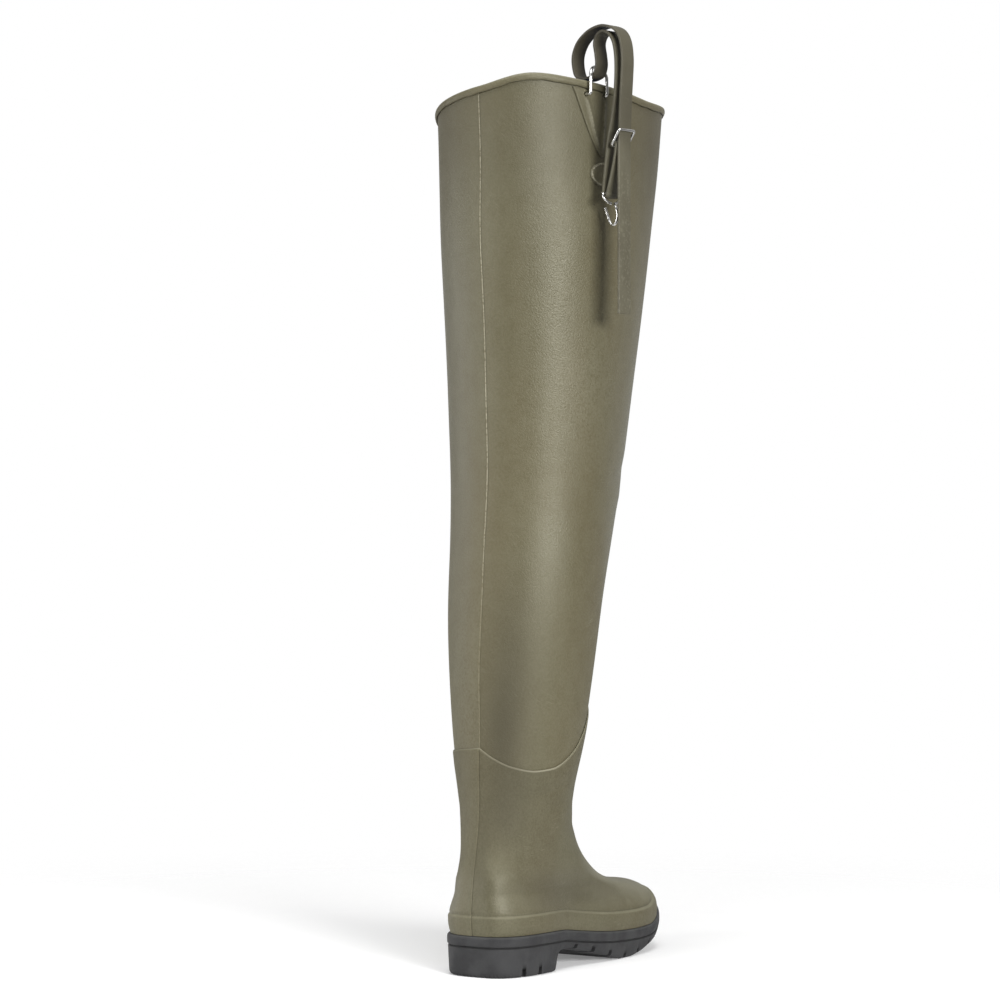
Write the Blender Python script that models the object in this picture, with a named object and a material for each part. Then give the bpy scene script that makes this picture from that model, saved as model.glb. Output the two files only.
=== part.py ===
"""A hip wader for the right foot: a moulded rubber boot on a lugged sole, carried up the thigh by a
rubber leg, with a bound rim and a belt strap that hangs from a wire ring on the outer side.

All sizes below are millimetres. "Along" runs from the back of the heel to the toe (+Y), "out" is
the outer side of the foot (+X), and up is +Z. The origin lies under the middle of the heel.
"""

import math

import bpy
import numpy as np
from mathutils import Matrix, Vector

MM = 0.001

# Driving sizes of the boot
FOOT_LENGTH = 312.0
BALL_WIDTH = 101.0
HEEL_HEIGHT = 38.0
HEEL_MIDDLE = 45.0
TOE_SWAY = 4.0
TOE_SWAY_FROM = 170.0
WAIST_AT = 106.0
WAIST_SPREAD = 45.0

# Walls, laps and clearances
BOOT_WALL = 3.0
LEG_WALL = 2.0
FOXING_STEP = 1.2
BOOT_LAP = 14.0
BOOT_LAP_STEP = 1.7
BOOT_LAP_GAP = 0.5
SEAM_STEP = 0.9
SEAM_SPREAD = 24.0
GAP = 0.3
SEAT_GAP = 0.5

# Rim binding
BINDING_RISE = 3.2
BINDING_OUTSIDE = 3.8

# Belt strap, its ring, buckle and hook
RING_ALONG = 79.0
EYELET_HEIGHT = 818.3
EYELET_RADIUS = 2.2
RING_HALF_WIDTH = 11.0
RING_WIRE = 1.5
STRAP_TURN = math.radians(12.0)
STRAP_WIDTH = 16.0
STRAP_THICKNESS = 2.4
FITTING_WIRE = 1.2
FITTING_HALF_WIDTH = 10.4

COLUMNS = 46
SEAM_ANGLE = 0.004

# Height of the sole's parts along its length
SOLE_COLUMNS = ("along", "bottom", "groove", "top")
SOLE_ROWS = (
    (0.0, 0.0, 28.0, 38.0),
    (45.0, 0.0, 28.0, 38.0),
    (90.0, 0.0, 27.2, 37.2),
    (120.0, 0.0, 23.5, 33.6),
    (150.0, 0.0, 20.0, 30.0),
    (175.0, 0.0, 18.0, 27.9),
    (204.0, 0.0, 16.9, 26.7),
    (220.0, 1.8, 16.6, 26.4),
    (245.0, 6.4, 16.9, 26.6),
    (275.0, 12.2, 21.2, 30.6),
    (298.0, 20.0, 29.5, 38.8),
    (315.0, 27.5, 38.0, 46.5),
)

# Level slices of the foot. "rise" is above the sole's edge at the heel, "follow" is how far the
# slice dips with the sole towards the ball, "back" and "front" are shares of the foot length,
# "wide_at" is where the slice is widest, "half_width" is a share of the ball width, the two
# "fullness" values are superellipse exponents, and "waist" is the pinch at the arch.
FOOT_COLUMNS = (
    "rise", "follow", "back", "front", "wide_at", "half_width", "back_fullness", "front_fullness", "waist"
)
FOOT_ROWS = (
    (0.4, 1.00, 0.011, 0.990, 0.658, 0.511, 3.40, 2.27, 10.0),
    (9.0, 1.00, 0.006, 0.988, 0.656, 0.525, 3.50, 2.25, 10.0),
    (18.5, 1.08, 0.003, 0.966, 0.648, 0.519, 3.50, 2.20, 9.5),
    (22.0, 0.96, 0.002, 0.954, 0.640, 0.508, 3.50, 2.16, 9.0),
    (29.0, 0.86, 0.004, 0.924, 0.619, 0.477, 3.45, 2.10, 7.5),
    (36.0, 0.78, 0.007, 0.874, 0.593, 0.441, 3.40, 2.04, 5.5),
    (41.0, 0.72, 0.009, 0.790, 0.563, 0.414, 3.50, 2.02, 4.0),
    (44.5, 0.72, 0.011, 0.712, 0.529, 0.401, 3.60, 2.00, 2.6),
    (49.0, 0.62, 0.013, 0.648, 0.474, 0.386, 3.60, 2.00, 1.4),
    (57.0, 0.50, 0.017, 0.599, 0.410, 0.381, 3.20, 2.00, 0.5),
    (72.0, 0.35, 0.026, 0.534, 0.333, 0.396, 2.60, 2.00, 0.0),
    (90.5, 0.20, 0.035, 0.488, 0.276, 0.431, 2.20, 2.00, 0.0),
    (104.5, 0.08, 0.040, 0.469, 0.256, 0.455, 2.05, 2.00, 0.0),
)
FOXING_ROW = 2

# Level sections of the leg, from the ankle to the rim
LEG_COLUMNS = ("height", "back", "half_depth", "half_width", "fullness")
LEG_ROWS = (
    (160.0, 13.6, 64.5, 48.0, 2.00),
    (180.0, 14.6, 65.0, 51.6, 2.00),
    (205.0, 15.2, 66.5, 57.4, 2.00),
    (250.0, 15.0, 70.2, 63.4, 2.00),
    (300.0, 15.3, 74.2, 68.4, 2.00),
    (345.0, 18.2, 76.2, 72.0, 2.00),
    (400.0, 22.7, 82.0, 74.4, 2.00),
    (470.0, 26.6, 89.0, 79.0, 2.00),
    (540.0, 27.0, 95.0, 84.4, 2.00),
    (620.0, 22.6, 106.0, 89.0, 2.03),
    (700.0, 18.0, 115.5, 93.5, 2.07),
    (770.0, 13.8, 126.0, 94.3, 2.12),
    (850.0, 11.5, 131.5, 97.5, 2.15),
)

# Height of the rim's crest, and of the boot's top edge, round the leg. The angle starts at the
# back seam and turns over the outer side.
RIM_ROWS = (
    (0, 825), (30, 836), (53, 832), (80, 826), (100, 822), (130, 824), (180, 817),
    (225, 804), (270, 800), (315, 812), (360, 825),
)
BOOT_EDGE_ROWS = (
    (0, 211), (14, 202), (34, 193.5), (54, 190), (72, 192), (90, 202), (126, 239), (150, 256), (180, 264),
    (210, 256), (234, 240), (254, 222), (272, 210), (290, 206), (310, 206), (335, 208.5), (360, 211),
)

# Route of the belt strap in its own upright plane, as (out, up) from the eyelets. It starts at the
# buckle's lower bar, turns round the hook's eye, and goes twice over the top and once through the ring.
STRAP_TO_HOOK = ((31.6, -62.0), (27.4, -78.0))
STRAP_TO_BUCKLE = (
    (18.4, -82.0), (20.6, -66.0), (22.8, -50.0), (24.6, -40.0), (28.6, -22.0), (32.2, 1.0), (33.0, 27.0),
    (30.4, 44.0), (24.6, 53.4), (16.4, 57.2), (9.4, 54.4), (6.2, 47.0), (7.9, 36.6), (8.8, 26.6),
    (5.4, 18.4), (-2.8, 15.4), (-10.8, 15.6), (-17.6, 19.4), (-20.8, 30.0), (-20.3, 40.0), (-14.8, 50.0),
    (-4.8, 57.6), (6.2, 61.6), (18.0, 62.2), (31.2, 57.2), (38.6, 46.6), (41.2, 30.4), (40.5, 12.6),
    (38.9, -9.7), (37.8, -37.4), (37.2, -51.0), (37.0, -76.0), (37.0, -120.0), (37.0, -163.0),
    (37.0, -206.0),
)
BUCKLE_LOWER_BAR = (31.0, -50.4)
BUCKLE_UPPER_BAR = (40.6, -36.6)
HOOK_EYE = (19.8, -94.5)
HOOK_NECK = (23.0, -103.6)
HOOK_BEND = (
    (27.0, -107.0), (28.8, -114.0), (26.8, -121.0), (22.6, -123.0), (19.2, -119.6), (16.2, -113.0),
    (13.4, -106.4),
)

# Side of the sole from the tread up to the seat: distance from the outline, one of the sole's lines
# and the rise above that line
SOLE_EDGE_ROWS = (
    (-6.0, "bottom", 0.0),
    (-3.2, "bottom", 1.1),
    (-1.8, "bottom", 3.4),
    (-0.5, "groove", -1.0),
    (-1.5, "groove", -0.2),
    (-1.5, "groove", 0.4),
    (0.0, "groove", 1.2),
    (0.3, "top", -4.0),
    (-0.2, "top", -1.2),
    (-1.2, "top", 0.0),
)
SOLE_MARGINS = {"back": -1.6, "front": 6.0, "half_width": 2.0}

# Arch of the sole from the heel's breast to the tread under the ball, as (along, bottom)
SHANK_ROWS = (
    (76.5, 0.0), (79.5, 9.0), (83.5, 15.5), (92.0, 18.5), (104.0, 18.5), (125.0, 15.0), (150.0, 9.0),
    (186.0, 0.0),
)

# Tread: grooves cut in from both edges
TREAD_WIDTH = 4.6
TREAD_REACH = 70.0
HEEL_GROOVES = (28.0, 49.5)
HEEL_GROOVE_DEPTH = 7.0
HEEL_GROOVE_INNER = 20.0
TREAD_FIRST = 121.0
TREAD_PITCH = 26.0
TREAD_COUNT = 7
TREAD_DEPTH = 4.0
TREAD_INNER = 12.0
TREAD_SLANT = math.radians(12.0)


def smooth(rows, at):
    """Value of a table of (place, value) rows at a place, on a curve that never overshoots a row."""
    places = [row[0] for row in rows]
    values = [row[1] for row in rows]
    if at <= places[0]:
        return values[0]
    if at >= places[-1]:
        return values[-1]
    steps = [b - a for a, b in zip(places, places[1:])]
    slopes = [(b - a) / step for a, b, step in zip(values, values[1:], steps)]

    def tangent(i):
        if i in (0, len(slopes)):
            return slopes[min(i, len(slopes) - 1)]
        before, after = slopes[i - 1], slopes[i]
        if before * after <= 0.0:
            return 0.0
        first = 2 * steps[i] + steps[i - 1]
        second = steps[i] + 2 * steps[i - 1]
        return (first + second) / (first / before + second / after)

    i = max(k for k in range(len(steps)) if places[k] <= at)
    step = steps[i]
    t = (at - places[i]) / step
    rise = tangent(i) * step
    fall = tangent(i + 1) * step
    change = values[i + 1] - values[i]
    return values[i] + t * (rise + t * (3 * change - 2 * rise - fall + t * (rise + fall - 2 * change)))


def column(rows, names, name):
    """(first column, named column) of a table."""
    k = names.index(name)
    return tuple((row[0], row[k]) for row in rows)


SOLE = {name: column(SOLE_ROWS, SOLE_COLUMNS, name) for name in SOLE_COLUMNS[1:]}


def sole_height(name, along):
    return smooth(SOLE[name], along)


def foot_slices():
    """The foot's rows as full sizes, keyed by the slice's height at the heel."""
    for row in FOOT_ROWS:
        values = dict(zip(FOOT_COLUMNS, row))
        yield {
            "level": HEEL_HEIGHT + values["rise"],
            "follow": values["follow"],
            "back": values["back"] * FOOT_LENGTH,
            "front": values["front"] * FOOT_LENGTH,
            "wide_at": values["wide_at"] * FOOT_LENGTH,
            "half_width": values["half_width"] * BALL_WIDTH,
            "back_fullness": values["back_fullness"],
            "front_fullness": values["front_fullness"],
            "waist": values["waist"],
        }


def leg_slices():
    """The leg's rows in the same terms as the foot's."""
    for row in LEG_ROWS:
        values = dict(zip(LEG_COLUMNS, row))
        yield {
            "level": values["height"],
            "follow": 0.0,
            "back": values["back"],
            "front": values["back"] + 2 * values["half_depth"],
            "wide_at": values["back"] + values["half_depth"],
            "half_width": values["half_width"],
            "back_fullness": values["fullness"],
            "front_fullness": values["fullness"],
            "waist": 0.0,
        }


SLICES = [*foot_slices(), *leg_slices()]
SLICE_CURVES = {
    name: tuple((s["level"], s[name]) for s in SLICES) for name in SLICES[0] if name != "level"
}


def slice_at(level):
    return {name: smooth(rows, level) for name, rows in SLICE_CURVES.items()}


def sway(along):
    """How far the foot's middle line has turned inwards, towards the big toe."""
    past = max(0.0, along - TOE_SWAY_FROM) / (FOOT_LENGTH - TOE_SWAY_FROM)
    return -TOE_SWAY * past**2


def waist_pinch(form, along, side):
    """The arch pulls in the waist, more on the inner side than on the outer."""
    share = 0.75 if side > 0 else 1.25
    return form["waist"] * share * math.exp(-(((along - WAIST_AT) / WAIST_SPREAD) ** 2))


def surface_point(angle, level):
    """A point of the upper's outer surface. The angle is 0 at the back seam and turns outwards."""
    form = slice_at(level)
    cosine, sine = math.cos(angle), math.sin(angle)
    if cosine > 0:
        reach, power = form["back"] - form["wide_at"], 2.0 / form["back_fullness"]
    else:
        reach, power = form["front"] - form["wide_at"], 2.0 / form["front_fullness"]
    along = form["wide_at"] + reach * abs(cosine) ** power
    width = form["half_width"] * abs(sine) ** power
    side = 1.0 if sine >= 0 else -1.0
    pinch = waist_pinch(form, along, side) * min(1.0, 2 * abs(sine) ** power)
    out = side * max(0.0, width - pinch) + sway(along)
    up = level + form["follow"] * (sole_height("top", along) - HEEL_HEIGHT)
    return np.array((out, along, up))


def surface_normal(angle, level):
    turn, lift = 0.02, 0.6
    around = surface_point(angle + turn, level) - surface_point(angle - turn, level)
    upward = surface_point(angle, level + lift) - surface_point(angle, level - lift)
    normal = np.cross(around, upward)
    return normal / np.linalg.norm(normal)


def offset_point(angle, level, offset):
    return surface_point(angle, level) + offset * surface_normal(angle, level)


def column_angles():
    """Angles round the leg, closing with a narrow step at the back seam."""
    return [2 * math.pi * j / (COLUMNS - 1) for j in range(COLUMNS - 1)] + [2 * math.pi - SEAM_ANGLE]


ANGLES = column_angles()


def seam_rise(angle, level):
    """The inner sheet laps over the outer one at the back, and thins out away from its edge."""
    if angle < math.pi:
        return 0.0
    edge = surface_point(0.0, level)
    away = float(np.linalg.norm(surface_point(angle, level) - edge))
    return SEAM_STEP * max(0.0, 1.0 - away / SEAM_SPREAD)


def ring_height(rows, angle):
    return smooth(rows, math.degrees(angle) % 360.0)


def boot_edge(angle):
    return ring_height(BOOT_EDGE_ROWS, angle)


def leg_top(angle):
    return ring_height(RIM_ROWS, angle) - BINDING_RISE


def material(name, colour, roughness, metallic=0.0):
    made = bpy.data.materials.new(name)
    made.use_nodes = True
    shader = made.node_tree.nodes["Principled BSDF"]
    shader.inputs["Base Color"].default_value = (*colour, 1.0)
    shader.inputs["Roughness"].default_value = roughness
    shader.inputs["Metallic"].default_value = metallic
    return made


def add_object(name, points, faces, finish, root, crease=40.0, origin=(0.0, 0.0, 0.0)):
    """A smooth-shaded mesh object from points in millimetres, with its own origin."""
    mesh = bpy.data.meshes.new(name)
    mesh.from_pydata([tuple(float(x - o) * MM for x, o in zip(p, origin)) for p in points], [], faces)
    mesh.validate()
    mesh.update()
    mesh.shade_smooth()
    mesh.set_sharp_from_angle(angle=math.radians(crease))
    if finish is not None:
        mesh.materials.append(finish)
    made = bpy.data.objects.new(name, mesh)
    bpy.context.scene.collection.objects.link(made)
    made.parent = root
    made.location = [float(x) * MM for x in origin]
    return made


def ring_faces(rows, columns, closed_rows=False):
    """Quads between rows of points, each row closed on itself."""
    faces = []
    last = rows if closed_rows else rows - 1
    for i in range(last):
        for j in range(columns):
            here, above = i * columns, ((i + 1) % rows) * columns
            right = (j + 1) % columns
            faces.append((here + j, here + right, above + right, above + j))
    return faces


def shell(name, rows, finish, root):
    """A closed wall from rows of points that run up its outside and down its inside."""
    points = [p for row in rows for p in row]
    return add_object(name, points, ring_faces(len(rows), len(rows[0]), closed_rows=True), finish, root)


def wall_row(level_of, offset_of):
    """One row of points round the leg at a level and an offset, both given for each angle."""
    return [
        offset_point(angle, level_of(angle), offset_of(angle, level_of(angle))) for angle in ANGLES
    ]


def tube(route, radius, sides, closed=False):
    """Points and faces of a wire along a route, with a frame that doesn't twist."""
    route = [np.array(p, float) for p in route]
    count = len(route)
    points = []
    normal = None
    for i, centre in enumerate(route):
        after = route[(i + 1) % count] if closed else route[min(i + 1, count - 1)]
        before = route[i - 1] if closed or i else route[0]
        tangent = (after - before) / np.linalg.norm(after - before)
        if normal is None:
            helper = np.array((0.0, 1.0, 0.0)) if abs(tangent[1]) < 0.9 else np.array((1.0, 0.0, 0.0))
            normal = np.cross(tangent, helper)
        normal = normal - tangent * np.dot(normal, tangent)
        normal /= np.linalg.norm(normal)
        other = np.cross(tangent, normal)
        for k in range(sides):
            turn = 2 * math.pi * k / sides
            points.append(centre + radius * (math.cos(turn) * normal + math.sin(turn) * other))
    faces = ring_faces(count, sides, closed_rows=closed)
    if not closed:
        faces.append(tuple(reversed(range(sides))))
        faces.append(tuple(range((count - 1) * sides, count * sides)))
    return points, faces


def curve_through(points, pieces):
    """A smooth curve through points, with this many pieces between each two."""
    points = [np.array(p, float) for p in points]
    padded = [2 * points[0] - points[1], *points, 2 * points[-1] - points[-2]]
    found = []
    for a, b, c, d in zip(padded, padded[1:], padded[2:], padded[3:]):
        for k in range(pieces):
            t = k / pieces
            bow = 2 * a - 5 * b + 4 * c - d
            twist = 3 * b - a - 3 * c + d
            found.append(0.5 * (2 * b + (c - a) * t + bow * t**2 + twist * t**3))
    return [*found, points[-1]]


def arc(centre, radius, first, last, pieces):
    """Points of an arc in the strap's plane, between two angles in degrees."""
    turns = [math.radians(first + (last - first) * k / pieces) for k in range(pieces + 1)]
    return [(centre[0] + radius * math.cos(t), centre[1] + radius * math.sin(t)) for t in turns]


def eyelet_surface():
    """How far out the leg's outer face lies at the ring."""
    form = slice_at(EYELET_HEIGHT)
    share = abs(RING_ALONG - form["wide_at"]) / (form["wide_at"] - form["back"])
    return form["half_width"] * (1 - share ** form["back_fullness"]) ** (1 / form["back_fullness"])


STRAP_OUT = eyelet_surface()


def strap_place(place, across=0.0):
    """A point given as (out, up) from the eyelets and across the strap, in the boot's frame."""
    out = place[0] * math.cos(STRAP_TURN) + across * math.sin(STRAP_TURN)
    along = across * math.cos(STRAP_TURN) - place[0] * math.sin(STRAP_TURN)
    return np.array((STRAP_OUT + out, RING_ALONG + along, EYELET_HEIGHT + place[1]))


def sole_form():
    """The sole's outline: the upper's own slice at its fullest, with an edge standing out round it."""
    form = dict(SLICES[1])
    for name, extra in SOLE_MARGINS.items():
        form[name] += extra
    return form


SOLE_FORM = sole_form()


def sole_stations():
    """Places along the sole where its cross-section is drawn, closest at both ends and the breast."""
    heel = [SOLE_FORM["back"] + step for step in (0.5, 1.6, 4.0, 8.0, 14.0, 22.0)]
    toe = [SOLE_FORM["front"] - step for step in (30.0, 21.0, 14.0, 8.0, 4.0, 1.7, 0.5)]
    waist = [row[0] for row in SHANK_ROWS]
    seat = [32.0, 45.0, 58.0, 69.0]
    tread = [114.0, 138.0, 163.0, 176.0, 204.0, 220.0, 233.0, 245.0, 257.0, 268.0, 277.0]
    return sorted([*heel, *seat, *waist, *tread, *toe])


SOLE_STATIONS = sole_stations()
SEAT_HEIGHTS = [sole_height("top", along) for along in SOLE_STATIONS]


def seat_height(along):
    """Height of the sole's upper face, straight between its cross-sections."""
    return float(np.interp(along, SOLE_STATIONS, SEAT_HEIGHTS))


def sole_reach(along, side):
    """How far the sole's edge lies from its middle line."""
    ahead = along > SOLE_FORM["wide_at"]
    reach = SOLE_FORM["front" if ahead else "back"] - SOLE_FORM["wide_at"]
    full = SOLE_FORM["front_fullness" if ahead else "back_fullness"]
    share = (along - SOLE_FORM["wide_at"]) / reach
    width = SOLE_FORM["half_width"] * max(0.0, 1 - share**full) ** (1 / full)
    return max(2.0, width - waist_pinch(SOLE_FORM, along, side))


def sole_bottom(along):
    """Height of the tread: flat under the heel, arched at the waist and sprung at the toe."""
    arched = SHANK_ROWS[0][0] < along < SHANK_ROWS[-1][0]
    return smooth(SHANK_ROWS, along) if arched else sole_height("bottom", along)


def make_outsole(finish, root):
    """Lugged sole with its heel: cross-sections from the heel's back to the toe."""
    rows = []
    for along in SOLE_STATIONS:
        lines = {
            "bottom": sole_bottom(along),
            "groove": sole_height("groove", along),
            "top": sole_height("top", along),
        }
        profile = [(inset, lines[line] + rise) for inset, line, rise in SOLE_EDGE_ROWS]
        row = []
        for side, order in ((1.0, profile), (-1.0, list(reversed(profile)))):
            for inset, up in order:
                reach = max(0.8, sole_reach(along, side) + inset)
                row.append((sway(along) + side * reach, along, up))
        rows.append(row)
    points = [p for row in rows for p in row]
    columns = len(rows[0])
    faces = [tuple(reversed(f)) for f in ring_faces(len(rows), columns)]
    faces.append(tuple(range(columns)))
    faces.append(tuple(reversed(range((len(rows) - 1) * columns, len(rows) * columns))))
    sole = add_object("outsole", points, faces, finish, root, crease=35.0)
    cut = sole.modifiers.new("tread", "BOOLEAN")
    cut.operation = "DIFFERENCE"
    cut.object = tread_cutter(root)
    return sole


def bar(centre, size, turn):
    """Corners and faces of a bar turned about the vertical."""
    spin = Matrix.Rotation(turn, 3, "Z")
    corners = [
        Vector(centre) + spin @ Vector((x * size[0] / 2, y * size[1] / 2, z * size[2] / 2))
        for z in (-1, 1) for y in (-1, 1) for x in (-1, 1)
    ]
    faces = [(0, 2, 3, 1), (4, 5, 7, 6), (0, 1, 5, 4), (2, 6, 7, 3), (0, 4, 6, 2), (1, 3, 7, 5)]
    return [tuple(c) for c in corners], faces


def tread_cutter(root):
    """The grooves between the lugs, as bars that reach in from both edges."""
    grooves = [(along, HEEL_GROOVE_DEPTH, HEEL_GROOVE_INNER, 0.0) for along in HEEL_GROOVES]
    for k in range(TREAD_COUNT):
        grooves.append((TREAD_FIRST + k * TREAD_PITCH, TREAD_DEPTH, TREAD_INNER, TREAD_SLANT))
    points, faces = [], []
    height = 30.0
    for along, depth, inner, slant in grooves:
        for side in (1.0, -1.0):
            centre = (
                sway(along) + side * (inner + TREAD_REACH / 2),
                along - side * math.sin(side * slant) * TREAD_REACH / 2,
                sole_bottom(along) + depth - height / 2,
            )
            corners, sides = bar(centre, (TREAD_REACH, TREAD_WIDTH, height), -side * slant)
            first = len(points)
            points.extend(corners)
            faces.extend(tuple(first + v for v in f) for f in sides)
    cutter = add_object("tread_cutter", points, faces, None, root)
    cutter.hide_render = True
    cutter.display_type = "WIRE"
    return cutter


def make_insole(finish, root):
    """A flat sock inside the boot, lying on the sole."""
    thickness = 3.0
    play = 1.0
    outline = [offset_point(angle, SLICES[0]["level"], -BOOT_WALL - play) for angle in ANGLES[:-1]]
    rows = []
    for lift in (SEAT_GAP, SEAT_GAP + thickness):
        rows.append([(p[0], p[1], seat_height(p[1]) + lift) for p in outline])
    count = len(outline)
    points = [p for row in rows for p in row]
    faces = ring_faces(2, count)
    half = count // 2
    for k in range(half):
        a, b = k, k + 1
        c, d = (count - k - 1) % count, (count - k) % count
        low = tuple(dict.fromkeys((a, d, c, b)))
        faces.append(low)
        faces.append(tuple(reversed([count + v for v in low])))
    return add_object("insole", points, faces, finish, root)


def make_boot(finish, root):
    """Foot and lower leg: one moulded wall, open below, with the foxing as a step round the sole."""
    foxing_top = SLICES[FOXING_ROW]["level"]
    ankle = SLICES[len(FOOT_ROWS) - 1]["level"]
    foot_levels = [s["level"] for s in SLICES[: len(FOOT_ROWS)] if s["level"] > foxing_top]
    rising = (0.34, 0.68, 1.0)

    def blend(share):
        return lambda angle: ankle + (boot_edge(angle) - BOOT_LAP - ankle) * share

    def flat(level):
        return lambda angle: level

    def outer(base):
        return lambda angle, level: base + seam_rise(angle, level)

    def inner(depth):
        return lambda angle, level: -depth

    seat = SLICES[0]["level"]
    middle = SLICES[1]["level"]
    outside = [
        wall_row(flat(seat), outer(FOXING_STEP)),
        wall_row(flat(middle), outer(FOXING_STEP)),
        wall_row(flat(foxing_top - 0.6), outer(FOXING_STEP)),
        wall_row(flat(foxing_top + 0.4), outer(0.0)),
    ]
    outside += [wall_row(flat(level), outer(0.0)) for level in foot_levels]
    for share in rising:
        outside.append(wall_row(blend(share), outer(BOOT_LAP_STEP * share)))
    outside.append(wall_row(boot_edge, outer(BOOT_LAP_STEP)))

    below_lap = 0.5
    inside = [
        wall_row(boot_edge, outer(BOOT_LAP_GAP)),
        wall_row(lambda a: boot_edge(a) - BOOT_LAP - below_lap, outer(BOOT_LAP_GAP)),
        wall_row(lambda a: boot_edge(a) - BOOT_LAP - below_lap, inner(LEG_WALL)),
    ]
    inside += [wall_row(blend(share), inner(BOOT_WALL)) for share in (0.6, 0.3)]
    inside += [wall_row(flat(level), inner(BOOT_WALL)) for level in reversed(foot_levels)]
    inside += [wall_row(flat(middle), inner(BOOT_WALL)), wall_row(flat(seat), inner(BOOT_WALL))]
    for row in (outside[0], inside[-1]):
        for point in row:
            point[2] = seat_height(point[1]) + SEAT_GAP
    return shell("boot", [*outside, *inside], finish, root)


def make_leg(finish, root):
    """Thigh-high leg: a lapped rubber tube from inside the boot's top edge to the rim."""
    shares = (0.08, 0.2, 0.33, 0.46, 0.58, 0.7, 0.82, 0.92, 1.0)

    def level(share):
        return lambda angle: boot_edge(angle) + (leg_top(angle) - boot_edge(angle)) * share

    levels = [lambda a: boot_edge(a) - BOOT_LAP, boot_edge, *[level(s) for s in shares]]
    outside = [wall_row(at, seam_rise) for at in levels]
    inside = [wall_row(at, lambda angle, height: -LEG_WALL) for at in reversed(levels)]
    leg = shell("leg", [*outside, *inside], finish, root)
    pierce(leg, root)
    return leg


def make_binding(finish, root):
    """Rubber binding folded over the rim, as a channel swept round the leg's top edge."""
    low = -BINDING_OUTSIDE
    inner = -LEG_WALL - GAP
    channel = (
        (GAP, GAP), (GAP, low), (1.8, low - 0.3), (2.5, low + 2.2), (2.6, -0.8), (1.7, 2.0),
        (-0.2, BINDING_RISE), (-1.9, BINDING_RISE), (-3.8, 2.0), (-4.6, -0.8), (-4.4, low + 2.2),
        (-3.7, low + 0.3), (inner, low + 0.3), (inner, GAP),
    )
    rows = []
    for angle in ANGLES:
        top = surface_point(angle, leg_top(angle))
        normal = surface_normal(angle, leg_top(angle))
        flat = np.array((normal[0], normal[1], 0.0)) / np.hypot(normal[0], normal[1])
        lift = seam_rise(angle, leg_top(angle))
        row = []
        for out, up in channel:
            moved = out + (lift if out > 0 else 0.0)
            foot = surface_point(angle, leg_top(angle) + up)
            row.append((foot[0] + flat[0] * moved, foot[1] + flat[1] * moved, top[2] + up))
        rows.append(row)
    points = [p for row in rows for p in row]
    faces = [tuple(reversed(f)) for f in ring_faces(len(rows), len(channel), closed_rows=True)]
    return add_object("rim_binding", points, faces, finish, root)


def side_angle(along, level):
    """The angle at which the leg's outer side passes a place along the foot."""
    form = slice_at(level)
    share = (along - form["wide_at"]) / (form["wide_at"] - form["back"])
    cosine = -math.copysign(abs(share) ** (form["back_fullness"] / 2), share)
    return math.acos(max(-1.0, min(1.0, cosine)))


def plate(name, spans, thickness, finish, root, columns=8):
    """A thin plate on the leg's outer side. Each span is (height, first along, last along, tilt)."""
    grids = []
    for offset in (GAP, GAP + thickness):
        grid = []
        for height, first, last, tilt in spans:
            row = []
            for k in range(columns + 1):
                share = k / columns
                up = height + tilt * share
                row.append(offset_point(side_angle(first + (last - first) * share, up), up, offset))
            grid.append(row)
        grids.append(grid)
    wide = columns + 1
    rows = len(spans)
    points = [p for grid in grids for row in grid for p in row]
    back = rows * wide
    faces = []
    for i in range(rows - 1):
        for j in range(columns):
            a, b = i * wide + j, i * wide + j + 1
            c, d = (i + 1) * wide + j + 1, (i + 1) * wide + j
            faces.append((a, b, c, d))
            faces.append((back + d, back + c, back + b, back + a))
    border = [j for j in range(wide)]
    border += [i * wide + columns for i in range(1, rows)]
    border += [(rows - 1) * wide + j for j in reversed(range(columns))]
    border += [i * wide for i in reversed(range(1, rows - 1))]
    for a, b in zip(border, [*border[1:], border[0]]):
        faces.append((b, a, back + a, back + b))
    return add_object(name, points, faces, finish, root)


def pierce(piece, root):
    """Cuts the two eyelets through a piece on the leg's outer side."""
    cutter = bpy.data.objects.get("eyelet_cutter")
    if cutter is None:
        points, faces = [], []
        for along in (-RING_HALF_WIDTH, RING_HALF_WIDTH):
            line = [strap_place((out, 0.0), along) for out in (-12.0, 12.0)]
            rod, sides = tube(line, EYELET_RADIUS, 10)
            first = len(points)
            points.extend(rod)
            faces.extend(tuple(first + v for v in f) for f in sides)
        cutter = add_object("eyelet_cutter", points, faces, None, root)
        cutter.hide_render = True
        cutter.display_type = "WIRE"
    cut = piece.modifiers.new("eyelets", "BOOLEAN")
    cut.operation = "DIFFERENCE"
    cut.object = cutter


def make_patch(finish, root):
    """Pointed patch that spreads the strap's pull over the leg, with the eyelets through it."""
    drop = 63.0
    half = 26.0
    shift, lean = 4.0, 6.5

    def below_rim(along):
        return leg_top(side_angle(along, EYELET_HEIGHT)) - BINDING_OUTSIDE - 1.2

    top = below_rim(RING_ALONG + shift - half)
    slope = (below_rim(RING_ALONG + shift + half) - top) / (2 * half)
    spans = []
    for share in (0.0, 0.1, 0.22, 0.4, 0.6, 0.8, 0.93, 1.0):
        wide = half * (1.0 - share) ** 0.9 + 5.0 * math.sqrt(max(0.0, 1.0 - share**4)) * share + 0.8
        middle = RING_ALONG + shift + lean * share
        tilt = 2 * wide * slope * (1.0 - share)
        spans.append((top - drop * share, middle - wide, middle + wide, tilt))
    patch = plate("strap_patch", spans, 1.3, finish, root, columns=10)
    pierce(patch, root)
    return patch


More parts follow.
